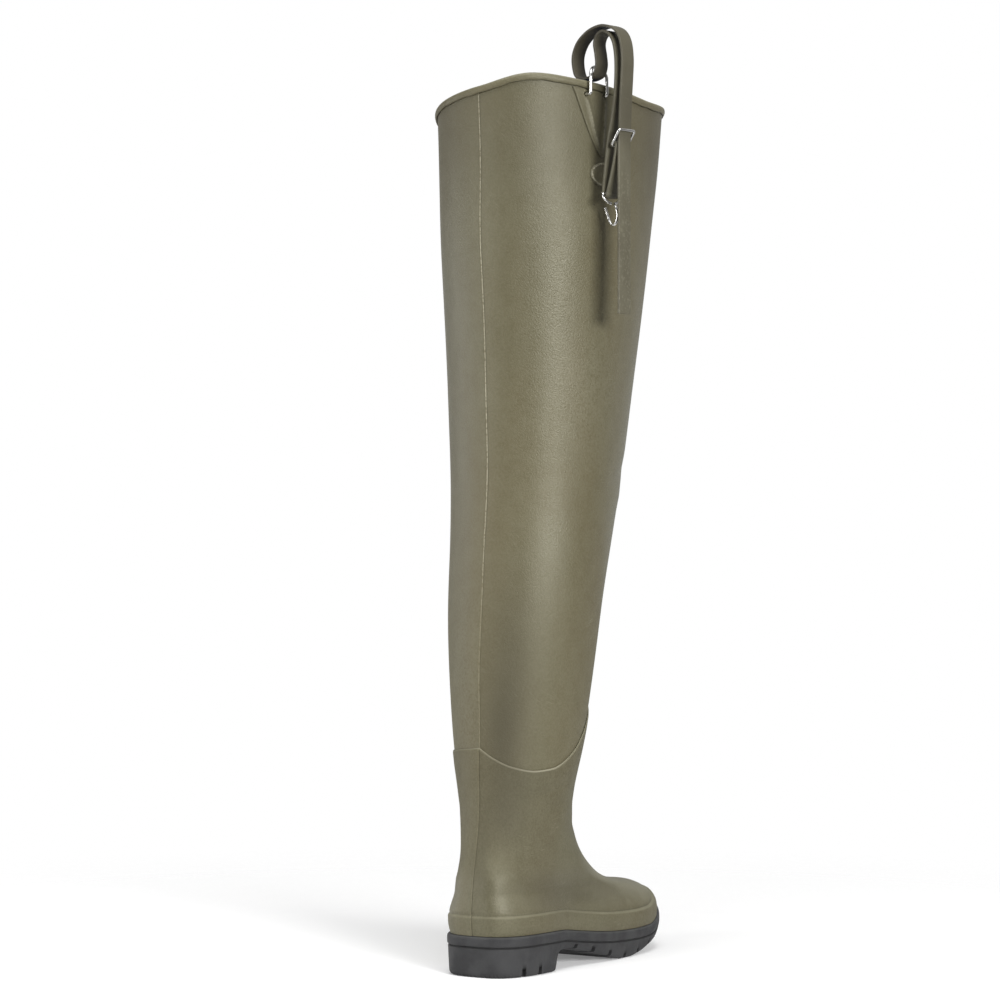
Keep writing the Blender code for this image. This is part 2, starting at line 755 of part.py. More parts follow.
def make_badge(finish, root):
    """A plain oval badge below the patch, with nothing on it."""
    middle_along, middle_up, half_wide, half_tall = 92.0, 745.0, 16.0, 11.5
    spans = []
    for share in (-1.0, -0.92, -0.7, -0.35, 0.0, 0.35, 0.7, 0.92, 1.0):
        wide = max(1.2, half_wide * math.sqrt(1.0 - share**2))
        spans.append((middle_up - half_tall * share, middle_along - wide, middle_along + wide, 0.0))
    return plate("badge_blank", spans, 1.0, finish, root, columns=6)


def make_ring(finish, root):
    """Wire ring: its lower bar lies inside the leg and its legs come out through the eyelets."""
    bend = 2.2
    inner, outer = -6.4, 5.4
    half = RING_HALF_WIDTH
    lean = 3.4
    crown_from = 15.0
    side = [
        (inner, -half + bend, 0.0), (inner + 0.6, -half + 0.5, 0.0), (inner + bend, -half, 0.0),
        (outer - bend, -half, 0.0), (outer - 0.6, -half, 0.7), (outer, -half, bend + 0.3),
        (outer, -half, crown_from),
    ]
    crown = []
    for k in range(1, 8):
        turn = math.pi * k / 16
        up = crown_from + half * math.sin(turn)
        crown.append((outer - lean * math.sin(turn) ** 2, -half * math.cos(turn), up))
    half_loop = [*side, *crown]
    top = [(outer - lean, 0.0, crown_from + half)]
    other = [(p[0], -p[1], p[2]) for p in reversed(half_loop)]
    loop = [*half_loop, *top, *other]
    route = [strap_place((out, up), along) for out, along, up in loop]
    points, faces = tube(route, RING_WIRE, 6, closed=True)
    return add_object("strap_ring", points, faces, finish, root, crease=80.0)


def make_strap(finish, root):
    """One rubber band: round the buckle's bar, through the hook's eye and the ring, then the free tail."""
    turn_radius = FITTING_WIRE + GAP + STRAP_THICKNESS / 2
    start = arc(BUCKLE_LOWER_BAR, turn_radius, 200.0, -10.0, 7)
    hook_turn = arc(HOOK_EYE, turn_radius, 15.0, -195.0, 7)
    line = [*start, *curve_through([start[-1], *STRAP_TO_HOOK, hook_turn[0]], 2)[1:-1], *hook_turn]
    line += curve_through([hook_turn[-1], *STRAP_TO_BUCKLE], 2)[1:]
    route = [strap_place(p) for p in line]
    points = []
    for i, centre in enumerate(route):
        tangent = route[min(i + 1, len(route) - 1)] - route[max(i - 1, 0)]
        tangent /= np.linalg.norm(tangent)
        wide = np.array((math.sin(STRAP_TURN), math.cos(STRAP_TURN), 0.0)) * STRAP_WIDTH / 2
        face = np.cross(wide, tangent) * STRAP_THICKNESS / STRAP_WIDTH
        points.extend((centre - face - wide, centre + face - wide))
        points.extend((centre + face + wide, centre - face + wide))
    faces = ring_faces(len(route), 4)
    last = (len(route) - 1) * 4
    faces += [(3, 2, 1, 0), (last, last + 1, last + 2, last + 3)]
    return add_object("strap", points, faces, finish, root)


def make_buckle(finish, root):
    """Wire frame that grips the strap: the upper bar lies in front of the band and the lower one behind."""
    low, high = np.array(BUCKLE_LOWER_BAR), np.array(BUCKLE_UPPER_BAR)
    bend = 2.4
    half = FITTING_HALF_WIDTH
    up = (high - low) / np.linalg.norm(high - low)
    corners = []
    for place, way, along in ((low, up, -1), (high, -up, -1), (high, -up, 1), (low, up, 1)):
        on_side = (*(place + bend * way), along * half)
        middle = (*(place + 0.3 * bend * way), along * (half - 0.3 * bend))
        on_bar = (*place, along * (half - bend))
        first_is_bar = (along < 0) == (place is low)
        corners += [on_bar, middle, on_side] if first_is_bar else [on_side, middle, on_bar]
    route = [strap_place((out, height), along) for out, height, along in corners]
    points, faces = tube(route, FITTING_WIRE, 6, closed=True)
    return add_object("buckle", points, faces, finish, root, crease=80.0)


def make_hook(finish, root):
    """Wire hook hanging in the strap: a three-sided eye with the open hook below it, joined as one."""
    half = FITTING_HALF_WIDTH
    eye, neck = np.array(HOOK_EYE), np.array(HOOK_NECK)

    def on_side(share, along):
        return (*(eye + (neck - eye) * share), along)

    half_eye = [
        on_side(0.0, -half + 2.2), on_side(0.03, -half + 0.5), on_side(0.2, -half),
        on_side(0.55, -half + 0.6), on_side(0.85, -half * 0.55), on_side(0.98, -half * 0.2),
    ]
    loop = [*half_eye, on_side(1.0, 0.0), *[(out, up, -along) for out, up, along in reversed(half_eye)]]
    route = [strap_place((out, up), along) for out, up, along in loop]
    points, faces = tube(route, FITTING_WIRE, 6, closed=True)
    hook = add_object("strap_hook", points, faces, finish, root, crease=80.0, origin=strap_place(HOOK_EYE))
    bend = [strap_place(p) for p in curve_through([HOOK_NECK, *HOOK_BEND], 2)]
    points, faces = tube(bend, FITTING_WIRE, 6)
    hook_bend = add_object("hook_bend", points, faces, None, root)
    hook_bend.hide_render = True
    hook_bend.display_type = "WIRE"
    join = hook.modifiers.new("bend", "BOOLEAN")
    join.operation = "UNION"
    join.object = hook_bend
    return hook


def main():
    for old in list(bpy.data.objects):
        bpy.data.objects.remove(old)
    olive = material("olive_rubber", (0.165, 0.150, 0.095), 0.45)
    strap_rubber = material("strap_rubber", (0.110, 0.100, 0.065), 0.6)
    sole_rubber = material("black_sole_rubber", (0.045, 0.045, 0.048), 0.6)
    sock = material("blue_lining", (0.02, 0.08, 0.24), 0.9)
    steel = material("bright_wire", (0.72, 0.72, 0.70), 0.25, 1.0)
    root = bpy.data.objects.new("wader", None)
    bpy.context.scene.collection.objects.link(root)
    root.location = (0.0, -HEEL_MIDDLE * MM, 0.0)

    make_outsole(sole_rubber, root)
    make_insole(sock, root)
    make_boot(olive, root)
    make_leg(olive, root)
    make_binding(olive, root)
    make_patch(olive, root)
    make_badge(olive, root)
    make_ring(steel, root)
    make_strap(strap_rubber, root)
    make_buckle(steel, root)
    make_hook(steel, root)


main()
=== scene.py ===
# %% [markdown]
# A hip wader is two kinds of rubber and a little wire. The foot and calf are moulded, the leg is
# a sheet of rubber on knitted cloth that is wrapped round a former and lapped at the back, and a
# strap at the rim goes up to the wearer's belt. This lesson dresses a plain model of one: the
# solids give the form, and every cell below adds one finish or one piece at its real size.

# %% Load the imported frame
import math

import bpy
import numpy as np
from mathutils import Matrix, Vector


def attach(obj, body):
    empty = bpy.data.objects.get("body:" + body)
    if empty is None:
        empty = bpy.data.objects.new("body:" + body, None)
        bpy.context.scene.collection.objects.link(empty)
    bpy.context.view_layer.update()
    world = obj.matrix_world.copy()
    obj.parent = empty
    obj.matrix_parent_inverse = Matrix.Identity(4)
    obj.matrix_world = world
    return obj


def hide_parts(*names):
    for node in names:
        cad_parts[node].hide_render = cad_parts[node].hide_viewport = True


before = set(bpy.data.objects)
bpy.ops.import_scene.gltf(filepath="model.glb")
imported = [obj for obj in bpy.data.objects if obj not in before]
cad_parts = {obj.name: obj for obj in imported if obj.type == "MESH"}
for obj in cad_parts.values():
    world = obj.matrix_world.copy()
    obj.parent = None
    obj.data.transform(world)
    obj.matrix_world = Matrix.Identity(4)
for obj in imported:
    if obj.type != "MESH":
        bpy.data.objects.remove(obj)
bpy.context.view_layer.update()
MM = 0.001
HEEL_MIDDLE = 45.0
print("solids:", ", ".join(sorted(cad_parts)))

# %% [markdown]
# The shape of the boot comes from a last, and a last is described by slices. Each row below is one
# level slice of the foot or one section of the leg, in millimetres or as a share of the foot's
# length and the ball's width. A dense mesh could be sculpted by hand, but then it would drift from
# the solids. Reading the same rows keeps the two together, however fine the mesh is.

# %% The last's sizes
FOOT_LENGTH = 312.0
BALL_WIDTH = 101.0
HEEL_HEIGHT = 38.0
TOE_SWAY = 4.0
TOE_SWAY_FROM = 170.0
WAIST_AT = 106.0
WAIST_SPREAD = 45.0
BOOT_WALL = 3.0
LEG_WALL = 2.0
SEAT_GAP = 0.5
FOXING_STEP = 1.2
BOOT_LAP = 14.0
BOOT_LAP_STEP = 1.7
BOOT_LAP_GAP = 0.5
SEAM_STEP = 0.9
SEAM_SPREAD = 24.0

SOLE_COLUMNS = ("along", "bottom", "groove", "top")
SOLE_ROWS = (
    (0.0, 0.0, 28.0, 38.0),
    (45.0, 0.0, 28.0, 38.0),
    (90.0, 0.0, 27.2, 37.2),
    (120.0, 0.0, 23.5, 33.6),
    (150.0, 0.0, 20.0, 30.0),
    (175.0, 0.0, 18.0, 27.9),
    (204.0, 0.0, 16.9, 26.7),
    (220.0, 1.8, 16.6, 26.4),
    (245.0, 6.4, 16.9, 26.6),
    (275.0, 12.2, 21.2, 30.6),
    (298.0, 20.0, 29.5, 38.8),
    (315.0, 27.5, 38.0, 46.5),
)
SHANK_ROWS = (
    (76.5, 0.0), (79.5, 9.0), (83.5, 15.5), (92.0, 18.5), (104.0, 18.5), (125.0, 15.0), (150.0, 9.0),
    (186.0, 0.0),
)
FOOT_COLUMNS = (
    "rise", "follow", "back", "front", "wide_at", "half_width", "back_fullness", "front_fullness", "waist"
)
FOOT_ROWS = (
    (0.4, 1.00, 0.011, 0.990, 0.658, 0.511, 3.40, 2.27, 10.0),
    (9.0, 1.00, 0.006, 0.988, 0.656, 0.525, 3.50, 2.25, 10.0),
    (18.5, 1.08, 0.003, 0.966, 0.648, 0.519, 3.50, 2.20, 9.5),
    (22.0, 0.96, 0.002, 0.954, 0.640, 0.508, 3.50, 2.16, 9.0),
    (29.0, 0.86, 0.004, 0.924, 0.619, 0.477, 3.45, 2.10, 7.5),
    (36.0, 0.78, 0.007, 0.874, 0.593, 0.441, 3.40, 2.04, 5.5),
    (41.0, 0.72, 0.009, 0.790, 0.563, 0.414, 3.50, 2.02, 4.0),
    (44.5, 0.72, 0.011, 0.712, 0.529, 0.401, 3.60, 2.00, 2.6),
    (49.0, 0.62, 0.013, 0.648, 0.474, 0.386, 3.60, 2.00, 1.4),
    (57.0, 0.50, 0.017, 0.599, 0.410, 0.381, 3.20, 2.00, 0.5),
    (72.0, 0.35, 0.026, 0.534, 0.333, 0.396, 2.60, 2.00, 0.0),
    (90.5, 0.20, 0.035, 0.488, 0.276, 0.431, 2.20, 2.00, 0.0),
    (104.5, 0.08, 0.040, 0.469, 0.256, 0.455, 2.05, 2.00, 0.0),
)
LEG_COLUMNS = ("height", "back", "half_depth", "half_width", "fullness")
LEG_ROWS = (
    (160.0, 13.6, 64.5, 48.0, 2.00),
    (180.0, 14.6, 65.0, 51.6, 2.00),
    (205.0, 15.2, 66.5, 57.4, 2.00),
    (250.0, 15.0, 70.2, 63.4, 2.00),
    (300.0, 15.3, 74.2, 68.4, 2.00),
    (345.0, 18.2, 76.2, 72.0, 2.00),
    (400.0, 22.7, 82.0, 74.4, 2.00),
    (470.0, 26.6, 89.0, 79.0, 2.00),
    (540.0, 27.0, 95.0, 84.4, 2.00),
    (620.0, 22.6, 106.0, 89.0, 2.03),
    (700.0, 18.0, 115.5, 93.5, 2.07),
    (770.0, 13.8, 126.0, 94.3, 2.12),
    (850.0, 11.5, 131.5, 97.5, 2.15),
)
RIM_ROWS = (
    (0, 825), (30, 836), (53, 832), (80, 826), (100, 822), (130, 824), (180, 817),
    (225, 804), (270, 800), (315, 812), (360, 825),
)
BOOT_EDGE_ROWS = (
    (0, 211), (14, 202), (34, 193.5), (54, 190), (72, 192), (90, 202), (126, 239), (150, 256), (180, 264),
    (210, 256), (234, 240), (254, 222), (272, 210), (290, 206), (310, 206), (335, 208.5), (360, 211),
)
BINDING_RISE = 3.2
BINDING_OUTSIDE = 3.8

# %% [markdown]
# A straight line between rows would show as a facet, and a loose spline would bulge past a row. A
# monotone cubic does neither. Its curvature still jumps at each row, which a satin surface shows
# as a band of light, so the slices are also blurred a little along the leg.


# %% Curves through the rows
def smooth_curve(rows, column=1):
    """A curve through one column of a table that never overshoots a row."""
    places = np.array([row[0] for row in rows], float)
    values = np.array([row[column] for row in rows], float)
    step = np.diff(places)
    slope = np.diff(values) / step
    tangent = np.concatenate((slope[:1], np.zeros(len(slope) - 1), slope[-1:]))
    for i in range(1, len(slope)):
        if slope[i - 1] * slope[i] > 0:
            first = 2 * step[i] + step[i - 1]
            second = step[i] + 2 * step[i - 1]
            tangent[i] = (first + second) / (first / slope[i - 1] + second / slope[i])

    def value(at):
        at = np.clip(at, places[0], places[-1])
        i = np.clip(np.searchsorted(places, at, "right") - 1, 0, len(step) - 1)
        t = (at - places[i]) / step[i]
        rise, fall = tangent[i] * step[i], tangent[i + 1] * step[i]
        change = values[i + 1] - values[i]
        return values[i] + t * (rise + t * (3 * change - 2 * rise - fall + t * (rise + fall - 2 * change)))

    return value


def smoothstep(at, low, high):
    t = np.clip((at - low) / (high - low), 0.0, 1.0)
    return t * t * (3 - 2 * t)


def bell(at, middle, half):
    """A bell curve: 1 at its middle, and a little over a third at half its width."""
    return np.exp(-(((at - middle) / half) ** 2))


def run_along(points):
    """The distance along a line of points, from its first point to each."""
    return np.concatenate(([0.0], np.cumsum(np.linalg.norm(np.diff(points, axis=0), axis=1))))


sole_line = {name: smooth_curve(SOLE_ROWS, k) for k, name in enumerate(SOLE_COLUMNS) if k}
shank = smooth_curve(SHANK_ROWS)
rim_crest = smooth_curve(RIM_ROWS)
boot_edge_curve = smooth_curve(BOOT_EDGE_ROWS)


def round_height(curve, angle):
    return curve(np.degrees(angle) % 360.0)


def boot_edge(angle):
    return round_height(boot_edge_curve, angle)


def leg_top(angle):
    return round_height(rim_crest, angle) - BINDING_RISE


print("rim:", rim_crest(0.0), "mm at the back,", rim_crest(180.0), "mm in front")


# %% The slices as one set of curves
LEVEL_STEP = 0.5
LEVELS = np.arange(34.0, 860.0, LEVEL_STEP)
FOOT_BLUR = 1.6
LEG_BLUR = 16.0
ANKLE_BLEND = (120.0, 190.0)


def all_slices():
    """Every row of the foot and the leg, in the same terms."""
    for row in FOOT_ROWS:
        form = dict(zip(FOOT_COLUMNS, row))
        yield {
            "level": HEEL_HEIGHT + form["rise"],
            "follow": form["follow"],
            "back": form["back"] * FOOT_LENGTH,
            "front": form["front"] * FOOT_LENGTH,
            "wide_at": form["wide_at"] * FOOT_LENGTH,
            "half_width": form["half_width"] * BALL_WIDTH,
            "back_fullness": form["back_fullness"],
            "front_fullness": form["front_fullness"],
            "waist": form["waist"],
        }
    for row in LEG_ROWS:
        form = dict(zip(LEG_COLUMNS, row))
        yield {
            "level": form["height"],
            "follow": 0.0,
            "back": form["back"],
            "front": form["back"] + 2 * form["half_depth"],
            "wide_at": form["back"] + form["half_depth"],
            "half_width": form["half_width"],
            "back_fullness": form["fullness"],
            "front_fullness": form["fullness"],
            "waist": 0.0,
        }


def blurred(values, sigma):
    """Values at even steps, averaged with their neighbours by a bell curve."""
    reach = int(4 * sigma / LEVEL_STEP)
    steps = np.arange(-reach, reach + 1) * LEVEL_STEP
    weights = np.exp(-0.5 * (steps / sigma) ** 2)
    longer = np.pad(values, reach, mode="reflect", reflect_type="odd")
    return np.convolve(longer, weights / weights.sum(), mode="valid")


SLICES = list(all_slices())
in_leg = smoothstep(LEVELS, *ANKLE_BLEND)
FORM = {}
for measure in SLICES[0]:
    sharp = smooth_curve([(s["level"], s[measure]) for s in SLICES])(LEVELS)
    FORM[measure] = blurred(sharp, FOOT_BLUR) * (1 - in_leg) + blurred(sharp, LEG_BLUR) * in_leg
print("slices:", len(SLICES))


# %% [markdown]
# Each slice is two half ellipses, one behind the widest place and one in front of it, with a power
# that makes them squarer or rounder. A polygon could be traced instead, but a few numbers are easier
# to correct. The waist is pinched afterwards, more on the inner side, and the toe sways inwards.


# %% The upper's outer surface
INNER_PINCH = 1.25
OUTER_PINCH = 0.75


def sway(along):
    """How far the middle line has turned towards the big toe."""
    past = np.maximum(0.0, along - TOE_SWAY_FROM) / (FOOT_LENGTH - TOE_SWAY_FROM)
    return -TOE_SWAY * past**2


def waist_pinch(waist, along, side):
    share = np.where(side > 0, OUTER_PINCH, INNER_PINCH)
    return waist * share * bell(along, WAIST_AT, WAIST_SPREAD)


def slice_line(form, angle):
    """Places out and along on one slice. The angle is 0 at the back and turns over the outer side."""
    cosine, sine = np.cos(angle), np.sin(angle)
    behind = cosine > 0
    reach = np.where(behind, form["back"], form["front"]) - form["wide_at"]
    power = 2.0 / np.where(behind, form["back_fullness"], form["front_fullness"])
    along = form["wide_at"] + reach * np.abs(cosine) ** power
    width = form["half_width"] * np.abs(sine) ** power
    side = np.where(sine >= 0, 1.0, -1.0)
    pinch = waist_pinch(form["waist"], along, side) * np.minimum(1.0, 2 * np.abs(sine) ** power)
    return side * np.maximum(0.0, width - pinch) + sway(along), along


def surface(angle, level):
    """Points of the upper's outer surface at angles round it and levels up it."""
    angle, level = np.broadcast_arrays(np.asarray(angle, float), np.asarray(level, float))
    form = {name: np.interp(level, LEVELS, values) for name, values in FORM.items()}
    out, along = slice_line(form, angle)
    up = level + form["follow"] * (sole_line["top"](along) - HEEL_HEIGHT)
    return np.stack((out, along, up), axis=-1)


def surface_normal(angle, level):
    """Directions straight out of the surface, from points a little to each side and above and below."""
    turn, lift = 0.012, 0.6
    around = surface(angle + turn, level) - surface(angle - turn, level)
    upward = surface(angle, level + lift) - surface(angle, level - lift)
    normal = np.cross(around, upward)
    return normal / np.linalg.norm(normal, axis=-1, keepdims=True)


SEAM_COLUMNS = (0.0, 0.25, 0.6, 1.1, 1.9, 3.0, 4.6, 6.8)
SEAM_CLEARANCE = 2.2


def even_angles(level, count):
    """Angles of evenly spaced columns round one slice, with closer ones on both sides of the seam.

    Also gives each column's distance from the seam: positive on the outer sheet, negative on the
    sheet that laps over it.
    """
    fine = 2 * np.pi * (0.5 - 0.5 * np.cos(np.linspace(0, np.pi, 2000)))
    fine = np.sort(np.concatenate((fine, np.linspace(0, 2 * np.pi, 4001))))
    run = run_along(surface(fine, level))
    near = np.array(SEAM_COLUMNS)
    first = near[-1] + SEAM_CLEARANCE
    middle = np.linspace(first, run[-1] - first, count - 2 * len(near))
    places = np.concatenate((near, middle, run[-1] - near[::-1]))
    seam = np.where(places < run[-1] / 2, places, places - run[-1])
    return np.interp(places, run, fine), seam


print("widest at the rim:", round(2 * float(surface(np.pi / 2, 820.0)[0])), "mm")

# %% [markdown]
# Rubber that has been worn and folded keeps soft waves: a long shallow hollow beside the seam, a
# ridge down the calf, and short folds where ankle and knee bend. Cloth simulation would give them
# at random. Here each one is given as a row: where it is, which way it runs, how long and wide it
# is, and how far it stands out or in.

# %% Creases of the leg and the ankle
# Each row: angle, height, tilt, half length, half width and rise
CREASE_ROWS = (
    (22.0, 440.0, 1.0, 210.0, 18.0, -1.7),
    (70.0, 420.0, 2.0, 210.0, 25.0, 1.8),
    (100.0, 520.0, -4.0, 150.0, 20.0, -0.9),
    (330.0, 380.0, -2.0, 130.0, 16.0, -1.1),
    (300.0, 560.0, 5.0, 160.0, 24.0, 0.9),
    (120.0, 470.0, 62.0, 42.0, 9.0, -0.9),
    (150.0, 452.0, 78.0, 46.0, 8.0, 0.8),
    (215.0, 462.0, 98.0, 50.0, 9.0, -1.0),
    (28.0, 650.0, 14.0, 80.0, 20.0, -0.8),
    (52.0, 690.0, -8.0, 90.0, 22.0, 0.7),
    (50.0, 158.0, 90.0, 60.0, 26.0, -1.8),
    (50.0, 89.0, 90.0, 50.0, 18.0, 1.6),
    (70.0, 168.0, 70.0, 26.0, 6.0, -0.7),
    (104.0, 150.0, 58.0, 24.0, 6.0, 0.6),
    (140.0, 136.0, 80.0, 30.0, 6.5, -0.8),
    (285.0, 160.0, 104.0, 26.0, 6.0, -0.7),
    (222.0, 138.0, 98.0, 30.0, 6.5, -0.7),
)
CALF_RADIUS = 60.0
SEAM_EDGE = 0.9
SEAM_FURROW = 0.18
SEAM_FURROW_WIDTH = 0.45
# Each wave of the seam: how far it strays, how long it is, and where it starts
SEAM_WAVES = ((0.9, 61.0, 0.6), (0.5, 23.0, 0.0))
SEAM_STRAY_FROM = (230.0, 300.0)
SEAM_STRAY_REACH = 16.0
SEAM_STRAY_RADIUS = 80.0


def crease_rise(angle, level):
    """Soft troughs and ridges, each a long bell shape laid on the leg."""
    radius = 0.5 * (np.interp(level, LEVELS, FORM["half_width"]) + CALF_RADIUS)
    total = np.zeros(np.broadcast(angle, level).shape)
    for place, height, tilt, half_length, half_width, rise in CREASE_ROWS:
        turn = (angle - np.radians(place) + np.pi) % (2 * np.pi) - np.pi
        across, along = turn * radius, level - height
        lean = np.radians(tilt)
        side = across * np.cos(lean) - along * np.sin(lean)
        run = across * np.sin(lean) + along * np.cos(lean)
        total += rise * np.exp(-((side / half_width) ** 2) - (run / half_length) ** 2)
    return total


def seam_rise(seam):
    """The lapped sheet stands up at its rounded edge and thins out away from it."""
    away = -seam
    lapped = np.where(seam > 0, 0.0, np.clip(1 - away / SEAM_SPREAD, 0.0, 1.0) * SEAM_STEP)
    edge = np.sqrt(np.clip(away / SEAM_EDGE, 0.0, 1.0))
    furrow = -SEAM_FURROW * bell(seam, 0.0, SEAM_FURROW_WIDTH) * (seam >= 0)
    return np.where(seam > 0, furrow, lapped * edge)


def seam_wander(level, seam):
    """How far the hand-laid seam strays sideways, in radians. Columns far from it stay put."""
    stray = sum(far * np.sin(level / length + start) for far, length, start in SEAM_WAVES)
    stray = stray * smoothstep(level, *SEAM_STRAY_FROM)
    return stray * bell(seam, 0.0, SEAM_STRAY_REACH) / SEAM_STRAY_RADIUS


print("creases:", len(CREASE_ROWS))


# %% [markdown]
# Most pieces here are rings of points: round the leg, round a wire, round the edge of the sole.
# One helper joins rings to a mesh and another joins a grid, and both take millimetres and hand
# back an object in the frame's metres.


# %% Mesh helpers
def in_frame(points):
    """Millimetres from the back of the heel, as metres from the middle of the heel."""
    moved = np.asarray(points, float).reshape(-1, 3) - (0.0, HEEL_MIDDLE, 0.0)
    return moved * MM


def make_piece(name, points, faces, finishes, crease=50.0):
    mesh = bpy.data.meshes.new(name)
    mesh.from_pydata(in_frame(points).tolist(), [], faces)
    mesh.validate()
    mesh.shade_smooth()
    mesh.set_sharp_from_angle(angle=math.radians(crease))
    for finish in finishes:
        mesh.materials.append(finish)
    piece = bpy.data.objects.new(name, mesh)
    bpy.context.scene.collection.objects.link(piece)
    print(f"{name}: {len(points)} points, {sum(len(f) - 2 for f in faces)} triangles")
    return piece


def ring_faces(rows, columns, closed=False, first=0):
    """Quads between rings of points, each ring closed on itself."""
    faces = []
    for i in range(rows if closed else rows - 1):
        here, above = first + i * columns, first + ((i + 1) % rows) * columns
        for j in range(columns):
            right = (j + 1) % columns
            faces.append((here + j, here + right, above + right, above + j))
    return faces


def end_faces(rows, columns):
    """The two faces that close the ends of a tube of rings."""
    last = (rows - 1) * columns
    return [tuple(reversed(range(columns))), tuple(range(last, last + columns))]


def paint(piece, name, values):
    """One number for each point, which a material can read by name."""
    mask = piece.data.attributes.new(name, "FLOAT", "POINT")
    mask.data.foreach_set("value", np.asarray(values, np.float32).ravel())


def dress(piece, body, slot, *nodes):
    """Puts a piece on its body, in place of its plain solids."""
    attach(piece, body)
    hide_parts(*nodes)
    return piece


# %% [markdown]
# Every finish below is made of a few effects, and most effects serve more than one finish. Each
# is a shader node group: built once, with named inputs, and placed in a material with that
# material's own values. They read object coordinates, which here are metres in the frame, so a
# scale of 900 means features a little over a millimetre across.


# %% Small helpers for shader nodes
def node(tree, kind, inputs=None, **settings):
    """A node with its settings, and its inputs set to numbers or linked to other nodes' outputs."""
    made = tree.nodes.new(kind)
    for name, value in settings.items():
        setattr(made, name, value)
    for name, value in (inputs or {}).items():
        if isinstance(value, bpy.types.NodeSocket):
            tree.links.new(value, made.inputs[name])
        else:
            made.inputs[name].default_value = value
    return made


def math_node(tree, operation, first, second=0.0, third=0.0):
    return node(tree, "ShaderNodeMath", {0: first, 1: second, 2: third}, operation=operation).outputs[0]


def remap(tree, value, low, high, new_low=0.0, new_high=1.0):
    inputs = {"Value": value, "From Min": low, "From Max": high, "To Min": new_low, "To Max": new_high}
    return node(tree, "ShaderNodeMapRange", inputs, interpolation_type="SMOOTHSTEP").outputs["Result"]


def mix(tree, share, first, second):
    inputs = {"Factor": share, 6: first, 7: second}
    return node(tree, "ShaderNodeMix", inputs, data_type="RGBA").outputs[2]


def tint(tree, colour, cover, share, other):
    """Lays another colour over the surface: where cover is 1, by this share."""
    return mix(tree, math_node(tree, "MULTIPLY", cover, share), colour, other)


def new_group(name, inputs, outputs):
    """An empty shader group with named number sockets, and its two end nodes."""
    tree = bpy.data.node_groups.new(name, "ShaderNodeTree")
    for label, value in inputs.items():
        socket = tree.interface.new_socket(label, in_out="INPUT", socket_type="NodeSocketFloat")
        socket.default_value = value
    for label in outputs:
        tree.interface.new_socket(label, in_out="OUTPUT", socket_type="NodeSocketFloat")
    return tree, tree.nodes.new("NodeGroupInput").outputs, tree.nodes.new("NodeGroupOutput").inputs


def place_group(tree, group, **values):
    made = node(tree, "ShaderNodeGroup", node_tree=group)
    for label, value in values.items():
        made.inputs[label.replace("_", " ")].default_value = value
    return made.outputs


def object_place(tree):
    return tree.nodes.new("ShaderNodeTexCoord").outputs["Object"]


# %% [markdown]
# Dipped and calendered rubber is never quite smooth. Close up it has a fine leathery skin of
# rounded cells, which breaks the highlight into specks. Cells from a Voronoi texture give the
# skin, and a finer noise roughens it.

# %% Group: skin grain
grain_group, grain_in, grain_out = new_group(
    "skin_grain", {"Scale": 900.0, "Fine Share": 0.35}, ("Height", "Fleck")
)
place = object_place(grain_group)
cells = node(grain_group, "ShaderNodeTexVoronoi", {"Vector": place, "Scale": grain_in["Scale"]}, feature="F1")
fine_scale = math_node(grain_group, "MULTIPLY", grain_in["Scale"], 2.3)
fine = node(grain_group, "ShaderNodeTexNoise", {"Vector": place, "Scale": fine_scale, "Detail": 2.0})
bump_share = math_node(grain_group, "MULTIPLY", fine.outputs["Fac"], grain_in["Fine Share"])
height = math_node(grain_group, "SUBTRACT", bump_share, cells.outputs["Distance"])
grain_group.links.new(height, grain_out["Height"])
grain_group.links.new(remap(grain_group, fine.outputs["Fac"], 0.52, 0.72), grain_out["Fleck"])

# %% [markdown]
# Rubber also varies over a hand's width: thicker and thinner places cure to slightly different
# tones, and handling polishes some of them. A broad noise stretched down the leg gives the tone.

# %% Group: cloudy tone
cloud_group, cloud_in, cloud_out = new_group(
    "cloudy_tone", {"Scale": 14.0, "Upright Stretch": 0.35}, ("Tone",)
)
stretch = node(
    cloud_group, "ShaderNodeCombineXYZ", {"X": 1.0, "Y": 1.0, "Z": cloud_in["Upright Stretch"]}
).outputs[0]
stretched = node(
    cloud_group, "ShaderNodeVectorMath", {0: object_place(cloud_group), 1: stretch}, operation="MULTIPLY"
).outputs[0]
clouds = node(
    cloud_group, "ShaderNodeTexNoise", {"Vector": stretched, "Scale": cloud_in["Scale"], "Detail": 4.0}
)
cloud_group.links.new(remap(cloud_group, clouds.outputs["Fac"], 0.3, 0.7), cloud_out["Tone"])

# %% [markdown]
# Storage and handling leave hairline marks and small pale rubs. They are rare, short and mostly
# slanted, so a noise is squeezed along a slanted direction and only its highest crests are kept.

# %% Group: hairline scuffs
scuff_group, scuff_in, scuff_out = new_group(
    "hairline_scuffs", {"Scale": 60.0, "Squeeze": 14.0, "Rarity": 0.7}, ("Mask",)
)
slanted = node(
    scuff_group, "ShaderNodeMapping", {"Vector": object_place(scuff_group), "Rotation": (0.9, 0.35, 0.6)}
).outputs[0]
squeeze = node(
    scuff_group, "ShaderNodeCombineXYZ", {"X": scuff_in["Squeeze"], "Y": 1.0, "Z": 1.0}
).outputs[0]
squeezed = node(
    scuff_group, "ShaderNodeVectorMath", {0: slanted, 1: squeeze}, operation="MULTIPLY"
).outputs[0]
hairs = node(
    scuff_group, "ShaderNodeTexNoise", {"Vector": squeezed, "Scale": scuff_in["Scale"], "Detail": 1.0}
)
where = node(
    scuff_group, "ShaderNodeTexNoise",
    {"Vector": object_place(scuff_group), "Scale": 22.0, "Detail": 1.0},
)
line = math_node(scuff_group, "SUBTRACT", hairs.outputs["Fac"], scuff_in["Rarity"])
line = remap(scuff_group, line, 0.0, 0.05)
